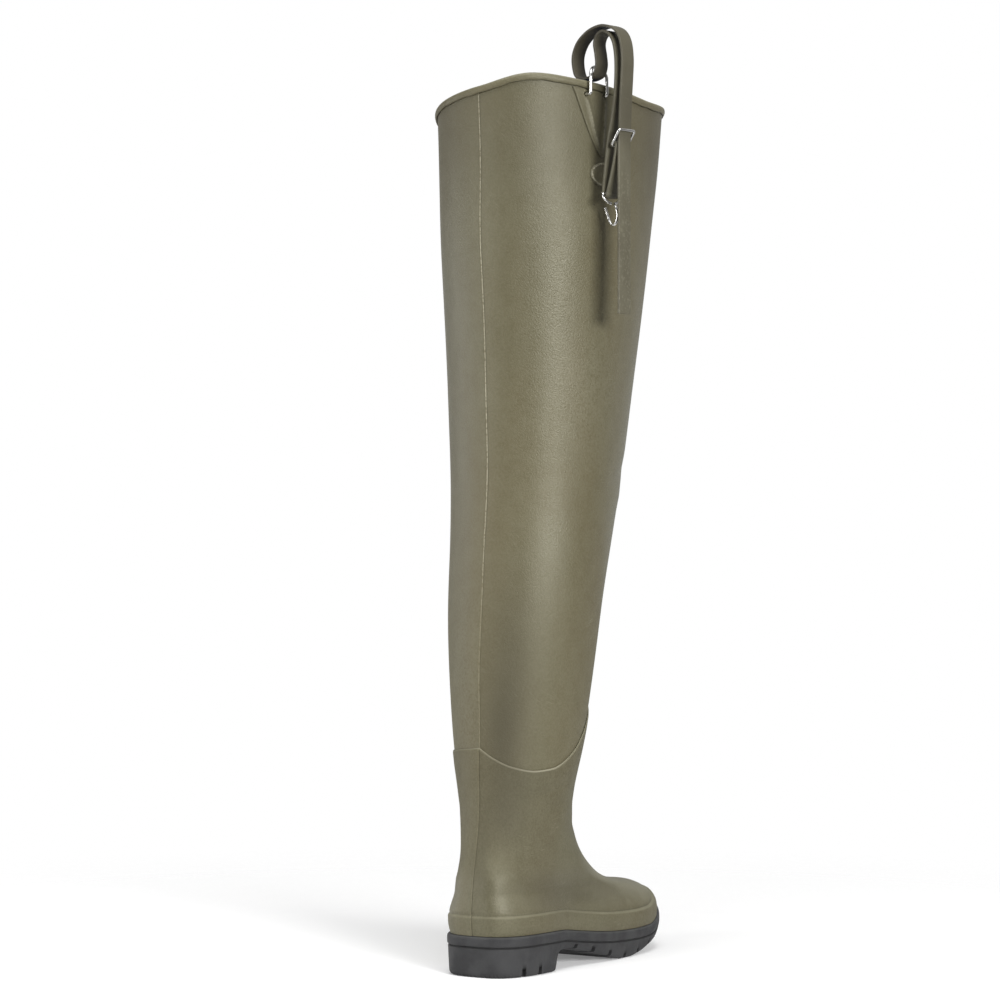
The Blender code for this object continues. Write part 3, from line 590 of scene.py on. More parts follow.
patches = remap(scuff_group, where.outputs["Fac"], 0.52, 0.7)
scuff_group.links.new(math_node(scuff_group, "MULTIPLY", line, patches), scuff_out["Mask"])

# %% [markdown]
# Surfaces that look up are painted paler. On the olive rubber it is a painted sheen of the light
# from above, on the vamp and the ledge at the calf; on the steps of the sole it is bloom and painted
# sheen together. The group compares the surface's own direction with up and breaks the edge with noise.

# %% Group: bloom and painted top sheen
bloom_and_sheen_group, bloom_and_sheen_in, bloom_and_sheen_out = new_group("bloom_and_top_sheen", {"Scale": 45.0, "Start": 0.2}, ("Mask",))
direction = bloom_and_sheen_group.nodes.new("ShaderNodeNewGeometry").outputs["Normal"]
upward = node(bloom_and_sheen_group, "ShaderNodeSeparateXYZ", {0: direction}).outputs["Z"]
speckle = node(
    bloom_and_sheen_group, "ShaderNodeTexNoise",
    {"Vector": object_place(bloom_and_sheen_group), "Scale": bloom_and_sheen_in["Scale"], "Detail": 5.0, "Roughness": 0.65},
)
uneven = math_node(bloom_and_sheen_group, "MULTIPLY_ADD", speckle.outputs["Fac"], 0.5, upward)
level_start = math_node(bloom_and_sheen_group, "ADD", bloom_and_sheen_in["Start"], 0.25)
above = math_node(bloom_and_sheen_group, "SUBTRACT", uneven, level_start)
bloom_and_sheen_group.links.new(remap(bloom_and_sheen_group, above, 0.0, 0.8), bloom_and_sheen_out["Mask"])
print("shader groups:", ", ".join(sorted(g.name for g in bpy.data.node_groups)))


# %% [markdown]
# The rubber of leg and boot is olive with a satin skin. Its colour leans to grey-green where it is
# polished and to brown where it is thin. Two painted masks belong to the mesh: "pale" follows cut
# edges and the crimped seam, where the cream core shows, and also carries painted highlights; "dark"
# is painted shade, in furrows, beside lapped edges and on the shaded parts of the rubber.


# %% Finish: olive rubber
def new_material(name):
    made = bpy.data.materials.new(name)
    made.use_nodes = True
    tree = made.node_tree
    return made, tree, tree.nodes["Principled BSDF"]


def mask(tree, name):
    return node(tree, "ShaderNodeAttribute", attribute_name=name).outputs["Fac"]


def bump(tree, shader, height, distance, strength=1.0):
    made = node(tree, "ShaderNodeBump", {"Height": height, "Distance": distance, "Strength": strength})
    tree.links.new(made.outputs["Normal"], shader.inputs["Normal"])


OLIVE = (0.098, 0.082, 0.042, 1.0)
OLIVE_GREY = (0.100, 0.090, 0.050, 1.0)
OLIVE_PALE = (0.175, 0.165, 0.110, 1.0)
PALE_CREAM = (0.33, 0.31, 0.23, 1.0)
PAINTED_SHADE = (0.040, 0.034, 0.020, 1.0)
SHINE_TINT = (1.0, 0.98, 0.84, 1.0)
SKIN_DEPTH = 0.00016
# Each row of dulling: from one height to another, in metres, and the roughness added at both
MOULDED_DULLING = ((0.048, 0.064, 0.2, 0.0), (0.082, 0.106, 0.0, 0.26))
SHEET_DULLING = ((0.24, 0.44, 0.22, 0.0), (0.62, 0.8, 0.0, 0.08))


def olive_rubber(name, dull, polished, depth_of_tone=1.0, moulded=False):
    """Olive rubber. Its roughness runs from dull to polished, and a lower depth is a darker tone.

    The moulded boot's pale mask is a painted highlight and is used whole, not dashed like the seam.
    Walking dulls its ankle and the calf above it.
    """
    made, tree, shader = new_material(name)
    grain = place_group(tree, grain_group, Scale=1000.0, Fine_Share=0.6)
    speckle = place_group(tree, cloud_group, Scale=560.0, Upright_Stretch=0.9)["Tone"]
    tone = place_group(tree, cloud_group, Scale=11.0, Upright_Stretch=0.3)["Tone"]
    small_tone = place_group(tree, cloud_group, Scale=70.0, Upright_Stretch=0.8)["Tone"]
    scuffs = place_group(tree, scuff_group, Scale=95.0, Squeeze=20.0, Rarity=0.63)["Mask"]
    # This mask paints upward-facing places paler: a painted sheen of the light from above.
    bloom_and_sheen = place_group(tree, bloom_and_sheen_group, Scale=60.0, Start=0.1)["Mask"]
    deep = [tuple(depth_of_tone * v for v in c[:3]) + (1.0,) for c in (OLIVE, OLIVE_GREY)]
    colour = mix(tree, tone, *deep)
    covers = ((small_tone, 0.12), (speckle, 0.22), (grain["Fleck"], 0.2), (scuffs, 0.45), (bloom_and_sheen, 0.95))
    for cover, share in covers:
        colour = tint(tree, colour, cover, share, OLIVE_PALE)
    pale = mask(tree, "pale")
    if not moulded:
        dashes = node(
            tree, "ShaderNodeTexNoise", {"Vector": object_place(tree), "Scale": 420.0, "Detail": 2.0}
        )
        pale = math_node(tree, "MULTIPLY", pale, remap(tree, dashes.outputs["Fac"], 0.36, 0.52))
    # The pale mask: cut edges and the seam, and painted highlights.
    colour = mix(tree, pale, colour, PALE_CREAM)
    # The dark mask is painted shade.
    colour = mix(tree, mask(tree, "dark"), colour, PAINTED_SHADE)
    tree.links.new(colour, shader.inputs["Base Color"])
    rough = remap(tree, tone, 0.0, 1.0, dull, polished)
    rough = math_node(tree, "MULTIPLY_ADD", grain["Fleck"], 0.05, rough)
    rough = math_node(tree, "MULTIPLY_ADD", bloom_and_sheen, 0.10, rough)
    height = node(tree, "ShaderNodeSeparateXYZ", {0: object_place(tree)}).outputs["Z"]
    for dulling in MOULDED_DULLING if moulded else SHEET_DULLING:
        rough = math_node(tree, "ADD", rough, remap(tree, height, *dulling))
    tree.links.new(rough, shader.inputs["Roughness"])
    shader.inputs["Specular Tint"].default_value = SHINE_TINT
    skin = math_node(tree, "MULTIPLY_ADD", speckle, 0.5, grain["Height"])
    bump(tree, shader, skin, SKIN_DEPTH, 0.9)
    return made


olive = olive_rubber("olive_rubber", 0.46, 0.38, 0.95)
boot_olive = olive_rubber("boot_rubber", 0.49, 0.42, 0.76, moulded=True)


# %% [markdown]
# The strap is a moulded band of the same rubber, unpolished, so it is duller and a little greyer.
# The sole is a harder black compound, a little paler where it faces up, which is bloom and painted sheen
# together.


# %% Finish: strap rubber and sole rubber
BAND_OLIVE = (0.080, 0.072, 0.045, 1.0)
BAND_GREY = (0.099, 0.091, 0.060, 1.0)
SOLE_BLACK = (0.016, 0.016, 0.017, 1.0)
SOLE_GREY = (0.024, 0.024, 0.025, 1.0)
SOLE_FLECK = (0.10, 0.10, 0.10, 1.0)
SOLE_BLOOM_AND_SHEEN = (0.13, 0.13, 0.125, 1.0)
SOLE_PAINTED_SHADE = (0.005, 0.005, 0.005, 1.0)


def band_rubber():
    made, tree, shader = new_material("strap_rubber")
    grain = place_group(tree, grain_group, Scale=1300.0, Fine_Share=0.7)
    tone = place_group(tree, cloud_group, Scale=55.0, Upright_Stretch=0.5)["Tone"]
    scuffs = place_group(tree, scuff_group, Scale=90.0, Squeeze=9.0, Rarity=0.62)["Mask"]
    colour = mix(tree, tone, BAND_OLIVE, BAND_GREY)
    colour = tint(tree, colour, grain["Fleck"], 0.2, OLIVE_PALE)
    colour = tint(tree, colour, scuffs, 0.35, OLIVE_PALE)
    specks = place_group(tree, cloud_group, Scale=420.0, Upright_Stretch=0.8)["Tone"]
    specks = math_node(tree, "MULTIPLY", remap(tree, specks, 0.62, 0.95), mask(tree, "pale"))
    colour = mix(tree, specks, colour, PALE_CREAM)
    colour = mix(tree, mask(tree, "dark"), colour, PAINTED_SHADE)
    tree.links.new(colour, shader.inputs["Base Color"])
    tree.links.new(remap(tree, tone, 0.0, 1.0, 0.62, 0.52), shader.inputs["Roughness"])
    bump(tree, shader, grain["Height"], 0.00012, 0.6)
    return made


def black_sole_rubber():
    made, tree, shader = new_material("sole_rubber")
    grain = place_group(tree, grain_group, Scale=1500.0, Fine_Share=0.9)
    tone = place_group(tree, cloud_group, Scale=40.0, Upright_Stretch=1.0)["Tone"]
    bloom_and_sheen = place_group(tree, bloom_and_sheen_group, Scale=80.0, Start=0.1)["Mask"]
    colour = mix(tree, tone, SOLE_BLACK, SOLE_GREY)
    colour = tint(tree, colour, grain["Fleck"], 0.2, SOLE_FLECK)
    colour = tint(tree, colour, bloom_and_sheen, 0.25, SOLE_BLOOM_AND_SHEEN)
    dark = mask(tree, "dark")
    # The dark mask is painted shade in the groove and the notches; it also makes them rough.
    colour = mix(tree, dark, colour, SOLE_PAINTED_SHADE)
    tree.links.new(colour, shader.inputs["Base Color"])
    rough = math_node(tree, "MAXIMUM", remap(tree, tone, 0.0, 1.0, 0.86, 0.72), dark)
    tree.links.new(rough, shader.inputs["Roughness"])
    bump(tree, shader, grain["Height"], 0.00014, 0.6)
    return made


strap_rubber = band_rubber()
sole_rubber = black_sole_rubber()


# %% [markdown]
# Inside, the rubber is bonded to a blue knitted lining. Rows of small loops run round the leg:
# two crossed waves make the loops, and noise makes the yarn uneven.


# %% Finish: blue knit
YARN_SHADE = (0.008, 0.040, 0.125, 1.0)
YARN = (0.022, 0.085, 0.235, 1.0)
YARN_RUBBED = (0.035, 0.11, 0.27, 1.0)


def blue_knit():
    made, tree, shader = new_material("blue_knit")
    where = object_place(tree)
    courses = node(
        tree, "ShaderNodeTexWave", {"Vector": where, "Scale": 110.0, "Distortion": 1.2}, bands_direction="Z"
    )
    wales = node(
        tree, "ShaderNodeTexWave", {"Vector": where, "Scale": 90.0, "Distortion": 1.0},
        bands_direction="DIAGONAL",
    )
    loops = math_node(tree, "MULTIPLY", courses.outputs["Fac"], wales.outputs["Fac"])
    tone = place_group(tree, cloud_group, Scale=25.0, Upright_Stretch=0.6)["Tone"]
    colour = mix(tree, loops, YARN_SHADE, YARN)
    colour = tint(tree, colour, tone, 0.3, YARN_RUBBED)
    tree.links.new(colour, shader.inputs["Base Color"])
    shader.inputs["Roughness"].default_value = 0.9
    shader.inputs["Sheen Weight"].default_value = 0.25
    bump(tree, shader, loops, 0.0004, 0.6)
    return made


knit = blue_knit()


# %% [markdown]
# Ring, buckle and hook are plated steel wire. Plating is bright, but hands and rubber leave a
# faint haze, so the roughness is uneven and the wire carries shallow drawing marks.


# %% Finish: bright wire
PLATE_HAZY = (0.60, 0.59, 0.57, 1.0)
PLATE_BRIGHT = (0.74, 0.74, 0.73, 1.0)


def plated_wire():
    made, tree, shader = new_material("bright_wire")
    tone = place_group(tree, cloud_group, Scale=180.0, Upright_Stretch=1.0)["Tone"]
    marks = place_group(tree, scuff_group, Scale=300.0, Squeeze=6.0, Rarity=0.58)["Mask"]
    colour = mix(tree, tone, PLATE_HAZY, PLATE_BRIGHT)
    tree.links.new(colour, shader.inputs["Base Color"])
    shader.inputs["Metallic"].default_value = 1.0
    rough = math_node(tree, "MULTIPLY_ADD", marks, 0.25, remap(tree, tone, 0.0, 1.0, 0.26, 0.17))
    tree.links.new(rough, shader.inputs["Roughness"])
    bump(tree, shader, marks, 0.00005, 0.5)
    return made


wire = plated_wire()
print("finishes:", ", ".join(sorted(m.name for m in bpy.data.materials if m.users or m.use_nodes)))

# %% [markdown]
# The leg is a tube with a real wall: rubber outside, knit inside. Its rings run from inside the
# boot's top edge to the rim, and the columns crowd together at the back seam so that the lapped
# edge can be round. The seam carries the "pale" mask above the boot. Soft spots of both masks are
# painted light: painted highlight on the strip beside the seam and on the outer side, and painted
# shade low on the leg, under the rim and at a few other places.

# %% The leg
LEG_COUNT = 236
LEG_ROW_COUNT = 190
LEG_INSIDE_ROWS = 46
LEG_REACH = 615.0
RIM_SHADE = 0.2
RIM_SHADE_FROM = (690.0, 790.0)
SEAM_PALER_FROM = (300.0, 460.0)
LEG_LOW_UNTIL = (260.0, 440.0)
LIT_STRIP_BESIDE_SEAM = (6.0, 0.35)
LOW_SHADE = (0.45, 0.36)
# Each spot: angle, height, how far it spreads round and up, and how much
LEG_PAINTED_SHADE_SPOTS = (
    (33.0, 730.0, 18.0, 120.0, 0.15),
    (109.0, 760.0, 17.0, 90.0, 0.3),
    (12.0, 222.0, 22.0, 45.0, 0.24),
)
LEG_PAINTED_HIGHLIGHT_SPOTS = ((68.0, 545.0, 18.0, 70.0, 0.11),)


def tone_spots(rows, angles, heights):
    """Soft spots of tone, each a bell shape in both directions."""
    total = np.zeros(angles.shape)
    for place, height, half_turn, half_height, amount in rows:
        turn = (angles - np.radians(place) + np.pi) % (2 * np.pi) - np.pi
        rise = (heights - height) / half_height
        total += amount * np.exp(-((turn / np.radians(half_turn)) ** 2) - rise**2)
    return total


def upper_rows(levels_of, count, offsets_of):
    """Rows of points round the upper. Each row gives its level for an angle and its own offset."""
    rows, seams, angles = [], [], []
    for level_of, offset_of in zip(levels_of, offsets_of):
        middle = float(np.mean(level_of(np.linspace(0, 2 * np.pi, 72))))
        angle, seam = even_angles(middle, count)
        level = level_of(angle)
        angle = angle + seam_wander(level, seam)
        offset = offset_of(angle, level, seam)
        rows.append(surface(angle, level) + offset[:, None] * surface_normal(angle, level))
        seams.append(seam)
        angles.append(angle)
    return np.array(rows), np.array(seams), np.array(angles)


def between_edges(share):
    return lambda angle: boot_edge(angle) + (leg_top(angle) - boot_edge(angle)) * share


def leg_outside(angle, level, seam):
    return seam_rise(seam) + crease_rise(angle, level)


def leg_inside(angle, level, seam):
    return crease_rise(angle, level) - LEG_WALL


def make_leg():
    shares = np.linspace(-BOOT_LAP / LEG_REACH, 1.0, LEG_ROW_COUNT)
    levels = [between_edges(s) for s in shares]
    inner = [between_edges(s) for s in np.linspace(1.0, shares[0], LEG_INSIDE_ROWS)]
    offsets = [leg_outside] * len(levels) + [leg_inside] * len(inner)
    rows, seams, angles = upper_rows([*levels, *inner], LEG_COUNT, offsets)
    faces = ring_faces(len(rows), LEG_COUNT, closed=True)
    leg = make_piece("leg_tube", rows.reshape(-1, 3), faces, (olive, knit))
    lined = np.zeros(len(faces), np.int32)
    lined[LEG_ROW_COUNT * LEG_COUNT : -LEG_COUNT] = 1
    leg.data.polygons.foreach_set("material_index", lined)
    heights = rows[..., 2]
    outer = (np.arange(len(rows)) < LEG_ROW_COUNT)[:, None]
    on_seam = outer * (0.25 + 0.75 * smoothstep(heights, *SEAM_PALER_FROM))
    low = 1 - smoothstep(heights, *LEG_LOW_UNTIL)
    # Painted highlight: a lit strip beside the seam low on the leg, and a spot on the outer side.
    painted_highlight = 0.1 * low * bell(angles, *LIT_STRIP_BESIDE_SEAM) + tone_spots(LEG_PAINTED_HIGHLIGHT_SPOTS, angles, heights)
    paint(leg, "pale", 0.7 * bell(seams, -0.3, 0.32) * on_seam + painted_highlight * outer)
    # Painted shade: beside the lapped seam edge, low on the leg between the seam and the highlight, under the
    # rim, and at a few spots.
    furrow = 0.5 * bell(seams, 0.55, 0.4) + 0.25 * bell(seams, -1.3, 0.5)
    shade = 0.55 * low * bell(angles, *LOW_SHADE) + RIM_SHADE * smoothstep(heights, *RIM_SHADE_FROM)
    shade = shade + tone_spots(LEG_PAINTED_SHADE_SPOTS, angles, heights)
    paint(leg, "dark", furrow * on_seam + shade * outer)
    return leg


leg = dress(make_leg(), "root", "olive_rubber", "leg")

# %% [markdown]
# The boot is moulded in one: foot, ankle and a calf that laps over the leg. Level slices alone
# would leave the vamp coarse, because it is nearly flat, so the rings are spaced evenly along the
# front of the boot instead. The foxing is a step round the bottom with a furrow above it.

# %% The boot
BOOT_COUNT = 320
BOOT_FRONT_PITCH = 2.4
BOOT_CALF_ROWS = 44
CALF_SHADE = 0.5
CALF_SHADE_FROM = (100.0, 150.0)
CALF_SHADE_PLACE = (0.5, 0.42)
LIT_SIDE = (0.9, 0.7)
BOOT_PAINTED_SHADE_SPOTS = ((74.0, 72.0, 30.0, 18.0, 0.44), (6.0, 100.0, 10.0, 50.0, 0.3))
BOOT_PAINTED_HIGHLIGHT_SPOTS = ((35.0, 76.0, 9.0, 14.0, 0.07),)
# How far each row lies below the top edge, and how far the edge is rounded off there
LEDGE_ROUND = ((2.4, 0.0), (1.8, 0.04), (1.2, 0.13), (0.7, 0.3), (0.3, 0.6), (0.0, 1.15))
FOXING_TOP = HEEL_HEIGHT + FOOT_ROWS[2][0]
ANKLE = HEEL_HEIGHT + FOOT_ROWS[-1][0]
SEAT = HEEL_HEIGHT + FOOT_ROWS[0][0]
FURROW_LEVEL = 57.7
FOXING_LEVELS = (
    SEAT, 39.2, 40.6, 43.0, 46.0, 49.0, 52.0, 54.0, 54.8, 55.4, 56.0, 56.6, 57.2, FURROW_LEVEL, 58.2
)
FURROW_ROW = FOXING_LEVELS.index(FURROW_LEVEL)
CALF_SHARE = 0.965
INSIDE_CALF_SHARES = (0.6, 0.4, 0.2, 0.0)
INSIDE_LEVELS = (52.0, 45.0, SEAT)


def foxing_rise(level):
    step = FOXING_STEP * (1 - smoothstep(level, FOXING_TOP - 1.8, FOXING_TOP + 0.7))
    return step - 0.3 * bell(level - FOXING_TOP, 1.2, 0.7)


def boot_lap_rise(angle, level):
    """The calf thickens towards its top edge, which lies over the leg."""
    reach = boot_edge(angle) - BOOT_LAP - ANKLE
    return BOOT_LAP_STEP * np.clip((level - ANKLE) / reach, 0.0, 1.0)


def front_levels():
    """Levels from the foxing to the ankle, evenly spaced along the front of the boot."""
    fine = np.linspace(FOXING_TOP + 2.2, ANKLE, 1500)
    run = run_along(surface(np.full_like(fine, np.pi), fine))
    return np.interp(np.arange(0.0, run[-1], BOOT_FRONT_PITCH), run, fine)


def boot_outside(angle, level, seam):
    return foxing_rise(level) + boot_lap_rise(angle, level) + crease_rise(angle, level) + seam_rise(seam)


def ledge_outside(less):
    return lambda angle, level, seam: boot_outside(angle, level, seam) - less


def lap_inside(angle, level, seam):
    """The inner face of the top edge, just clear of the leg."""
    return crease_rise(angle, level) + seam_rise(seam) + BOOT_LAP_GAP


def boot_inside(angle, level, seam):
    return crease_rise(angle, level) - BOOT_WALL


def flat_level(level):
    return lambda angle: np.full_like(angle, level)


def calf_level(share):
    return lambda angle: ANKLE + (boot_edge(angle) - ANKLE) * share


def edge_level(drop):
    return lambda angle: boot_edge(angle) - drop


def make_boot():
    outside = [flat_level(v) for v in [*FOXING_LEVELS, *front_levels()]]
    outside += [calf_level(s) for s in np.linspace(0.0, CALF_SHARE, BOOT_CALF_ROWS)]
    offsets = [boot_outside] * len(outside)
    for drop, less in LEDGE_ROUND:
        outside.append(edge_level(drop))
        offsets.append(ledge_outside(less))
    rubber_rows = len(outside)
    inside = [edge_level(0.1), edge_level(BOOT_LAP + 0.5), edge_level(BOOT_LAP + 0.5)]
    depths = [lap_inside, lap_inside, leg_inside]
    inside += [calf_level(s) for s in INSIDE_CALF_SHARES]
    inside += [flat_level(v) for v in front_levels()[::-6]]
    inside += [flat_level(v) for v in INSIDE_LEVELS]
    depths += [boot_inside] * (len(inside) - len(depths))
    rows, seams, angles = upper_rows([*outside, *inside], BOOT_COUNT, [*offsets, *depths])
    for k in (0, len(rows) - 1):
        rows[k][:, 2] = sole_line["top"](rows[k][:, 1]) + SEAT_GAP
    faces = ring_faces(len(rows), BOOT_COUNT, closed=True)
    boot = make_piece("boot_shell", rows.reshape(-1, 3), faces, (boot_olive, knit))
    lined = np.zeros(len(faces), np.int32)
    lined[(rubber_rows + 1) * BOOT_COUNT : -BOOT_COUNT] = 1
    boot.data.polygons.foreach_set("material_index", lined)
    heights = rows[..., 2]
    place = np.arange(len(rows))[:, None]
    outer = place < rubber_rows
    # Painted highlight: the top edge of the calf, brightest on the lit outer side, plus the strip beside the
    # seam and a spot at the heel.
    lit = 0.08 + 0.5 * bell(angles, *LIT_SIDE)
    crest_highlight = np.clip(1.6 - 0.22 * (rubber_rows - place), 0.0, 1.0) * lit
    painted_highlight = 0.06 * bell(angles, *LIT_STRIP_BESIDE_SEAM) + tone_spots(BOOT_PAINTED_HIGHLIGHT_SPOTS, angles, heights)
    paint(boot, "pale", np.maximum(crest_highlight, painted_highlight) * outer)
    # Painted shade: beside the seam, in the furrow over the foxing where the sides are in shade, on the calf
    # and at a few spots.
    seam_line = 0.7 * bell(seams, 0.35, 0.4) * (place < rubber_rows - 4)
    furrow = 0.7 * (place == FURROW_ROW) * (0.15 + 0.85 * np.sin(angles) ** 2)
    shade = CALF_SHADE * smoothstep(heights, *CALF_SHADE_FROM) * bell(angles, *CALF_SHADE_PLACE)
    shade = shade + tone_spots(BOOT_PAINTED_SHADE_SPOTS, angles, heights)
    paint(boot, "dark", np.maximum(np.maximum(seam_line, furrow), shade * outer))
    return boot


dress(make_boot(), "root", "olive_rubber", "boot")

# %% [markdown]
# The rim is bound with a folded strip. A bead swept round the top edge would do, but the fold has
# a flat outer face with a thin lower edge, so its section is drawn as a short outline of points.

# %% The rim's binding
BINDING_SECTION = (
    (0.3, -1.0), (0.3, -3.6), (1.2, -4.0), (1.9, -3.7), (2.3, -2.6), (2.55, -1.2), (2.5, 0.2), (2.1, 1.5),
    (1.3, 2.5), (0.2, 3.05), (-1.0, 3.2), (-2.2, 3.05), (-3.3, 2.5), (-4.1, 1.5), (-4.5, 0.2), (-4.55, -1.2),
    (-4.35, -2.5), (-3.9, -3.3), (-3.2, -3.6), (-2.3, -3.4), (-2.3, -1.0), (-2.3, 0.3), (-1.0, 0.35),
    (0.3, 0.3),
)


BINDING_LEVEL = 815.0
BINDING_COUNT = 300
SEAM_LIFT_REACH = 9.0
LOW_EDGE = -3.0
# Each wave of the lower edge: its rise, how many go round, and where it starts
EDGE_WAVES = ((0.25, 23.0, 0.0), (0.18, 41.0, 1.0))
SHADED_POINTS = 3


def make_binding():
    angle, seam = even_angles(BINDING_LEVEL, BINDING_COUNT)
    top = leg_top(angle)
    normal = surface_normal(angle, top)
    normal[:, 2] = 0.0
    normal /= np.linalg.norm(normal, axis=1, keepdims=True)
    wave = sum(rise * np.sin(angle * count + start) for rise, count, start in EDGE_WAVES)
    columns = []
    for out, up in BINDING_SECTION:
        lift = SEAM_STEP * bell(seam, 0.0, SEAM_LIFT_REACH) if out > 0 else 0.0
        low_edge = wave if up < LOW_EDGE and out > 0 else 0.0
        base = surface(angle, top + up)
        points = base + normal * np.asarray(out + lift)[..., None]
        points[:, 2] = top + up + low_edge
        columns.append(points)
    rows = np.array(columns)
    faces = [tuple(reversed(f)) for f in ring_faces(len(rows), len(angle), closed=True)]
    binding = make_piece("rim_bead", rows.reshape(-1, 3), faces, (olive,), crease=60.0)
    paint(binding, "pale", np.zeros(rows.shape[:2]))
    dark = np.zeros(rows.shape[:2])
    dark[:SHADED_POINTS] = 0.5
    paint(binding, "dark", dark)
    return binding


dress(make_binding(), "root", "olive_rubber", "rim_binding")

# %% [markdown]
# The sole is moulded too. Its side is one section swept round the outline: tread edge, wall, the
# groove, the rounded seat edge. The underside is a grid of heights from one side to the other, so
# that the notches of the lugs are cut straight into it and run out through the side wall.

# %% The sole
SOLE_MARGINS = {"back": -1.6, "front": 6.0, "half_width": 2.0}
# Each point of the side: how far out, the line that its height is counted from, and how far above
SOLE_SECTION = (
    (-6.0, "bottom", 0.0), (-4.6, "bottom", 0.3), (-3.2, "bottom", 1.0), (-2.3, "bottom", 2.1),
    (-1.8, "bottom", 3.6), (-1.4, "wall", 0.25), (-1.1, "wall", 0.5), (-0.8, "wall", 0.75),
    (-0.5, "groove", -1.3), (-0.6, "groove", -0.9), (-1.3, "groove", -0.45), (-1.6, "groove", 0.1),
    (-1.3, "groove", 0.6), (-0.3, "groove", 1.0), (0.1, "groove", 1.5), (0.25, "groove", 3.0),
    (0.3, "top", -4.0), (0.25, "top", -2.6), (-0.05, "top", -1.3), (-0.6, "top", -0.4),
    (-1.4, "top", 0.0), (-4.0, "top", 0.0),
)
TREAD_WIDTH = 4.6
TREAD_DEPTH = 4.0
TREAD_INNER = 12.0
TREAD_SLANT = math.tan(math.radians(12.0))
TREAD_PLACES = [121.0 + 26.0 * k for k in range(7)]
TREAD_HALF_WIDTH = 36.0
HEEL_GROOVES = (28.0, 49.5)
HEEL_GROOVE_DEPTH = 7.0
HEEL_GROOVE_INNER = 20.0
TREAD_FLOOR = 4.2
SERRATION = 1.8
SERRATED_UNTIL = (16.0, 26.0)
SOLE_PITCH = 2.0
SOLE_LEAST_PITCH = 1.3
HEEL_BREAST = (76.3, 77.5, 78.5, 79.5, 81.0, 83.5)
HEEL_END = 80.0
SLANT_FROM = (90.0, 120.0)
SLANT_UNTIL = (262.0, 300.0)
NOTCH_ROUND = 0.35
NOTCH_SEEN = 1.0
NOTCH_ROWS = 5
GROOVE_ROWS = (9, 13)


def sole_outline(angle):
    """The sole's edge: the upper's slice at its fullest, with a margin."""
    form = {name: SLICES[1][name] + SOLE_MARGINS.get(name, 0.0) for name in SLICES[1]}
    return np.stack(slice_line(form, angle), axis=-1)


def sole_bottom(along):
    arched = (along > SHANK_ROWS[0][0]) & (along < SHANK_ROWS[-1][0])
    return np.where(arched, shank(along), sole_line["bottom"](along))


def notches():
    """Every notch: where its middle meets the side, and its depth."""
    for along in HEEL_GROOVES:
        yield along, HEEL_GROOVE_DEPTH
    for along in TREAD_PLACES:
        yield along - TREAD_SLANT * TREAD_HALF_WIDTH, TREAD_DEPTH


def sole_columns():
    """Angles along one side from heel to toe, and the depth of the notch at each."""
    fine = np.pi * (0.5 - 0.5 * np.cos(np.linspace(0, np.pi, 6001)))
    line = sole_outline(fine)
    run = run_along(line)
    marks = []
    half, wide = TREAD_FLOOR / 2, TREAD_WIDTH / 2 + 0.2
    for along, depth in notches():
        for offset, share in ((-wide, 0.0), (-half, 1.0), (0.0, 1.0), (half, 1.0), (wide, 0.0)):
            marks.append((float(np.interp(along + offset, line[:, 1], run)), depth * share))
    marks += [(float(np.interp(v, line[:, 1], run)), 0.0) for v in HEEL_BREAST]
    even = np.linspace(0.0, run[-1], int(run[-1] / SOLE_PITCH))
    taken = np.array([m[0] for m in marks])
    marks += [(float(s), 0.0) for s in even if np.min(np.abs(taken - s)) > SOLE_LEAST_PITCH]
    marks.sort()
    places = np.array([m[0] for m in marks])
    return np.interp(places, run, fine), np.array([m[1] for m in marks])


def make_sole():
    angle, notch = sole_columns()
    count = len(angle)
    ring = np.concatenate((angle, 2 * np.pi - angle[-2:0:-1]))
    depth = np.concatenate((notch, notch[-2:0:-1]))
    outline = sole_outline(ring)
    ahead = np.roll(outline, -1, axis=0) - np.roll(outline, 1, axis=0)
    ahead /= np.linalg.norm(ahead, axis=1, keepdims=True)
    outward = np.stack((ahead[:, 1], -ahead[:, 0]), axis=-1)
    low = sole_bottom(outline[:, 1])
    groove = sole_line["groove"](outline[:, 1])
    depth = np.minimum(depth, 0.5 * (groove - low))
    low = low + depth
    rear = 1 - smoothstep(outline[:, 1], *SERRATED_UNTIL)
    teeth = SERRATION * rear * (np.arange(len(ring)) % 2)
    edge_round = np.where(depth > 0.5, NOTCH_ROUND, 1.0)
    rows = []
    for inset, line, rise in SOLE_SECTION:
        place = outline + inset * outward
        if line == "bottom":
            up = np.minimum(low + rise * edge_round, groove - 2.2 + 0.1 * rise)
            up = up + teeth * smoothstep(inset, -5.0, -3.4)
        elif line == "wall":
            start = np.minimum(low + 3.6 * edge_round, groove - 1.9)
            up = start + (groove - 1.4 - start) * rise
        else:
            up = sole_line[line](outline[:, 1]) + rise
        rows.append(np.column_stack((place, up)))
    rows = np.array(rows)
    points = list(rows.reshape(-1, 3))
    total = rows.shape[1]
    faces = ring_faces(len(rows), total)
    top = (len(rows) - 1) * total
    for j in range(count - 1):
        a, b = j, j + 1
        c, d = (total - j - 1) % total, (total - j) % total
        faces.append(tuple(dict.fromkeys((top + a, top + b, top + c, top + d))))
    faces += sole_tread(rows[0], depth, count, points)
    sole = make_piece("lugged_sole", np.array(points), faces, (sole_rubber,), crease=40.0)
    # The dark mask is painted shade in the side groove and inside the notches.
    dark = np.zeros(len(points))
    dark[GROOVE_ROWS[0] * total : GROOVE_ROWS[1] * total] = 0.8
    dark[: NOTCH_ROWS * total] = np.tile(depth > NOTCH_SEEN, NOTCH_ROWS)
    under = np.array(points[len(rows) * total :])
    dark[len(rows) * total :] = under[:, 2] - sole_bottom(under[:, 1]) > NOTCH_SEEN
    paint(sole, "dark", dark)
    return sole


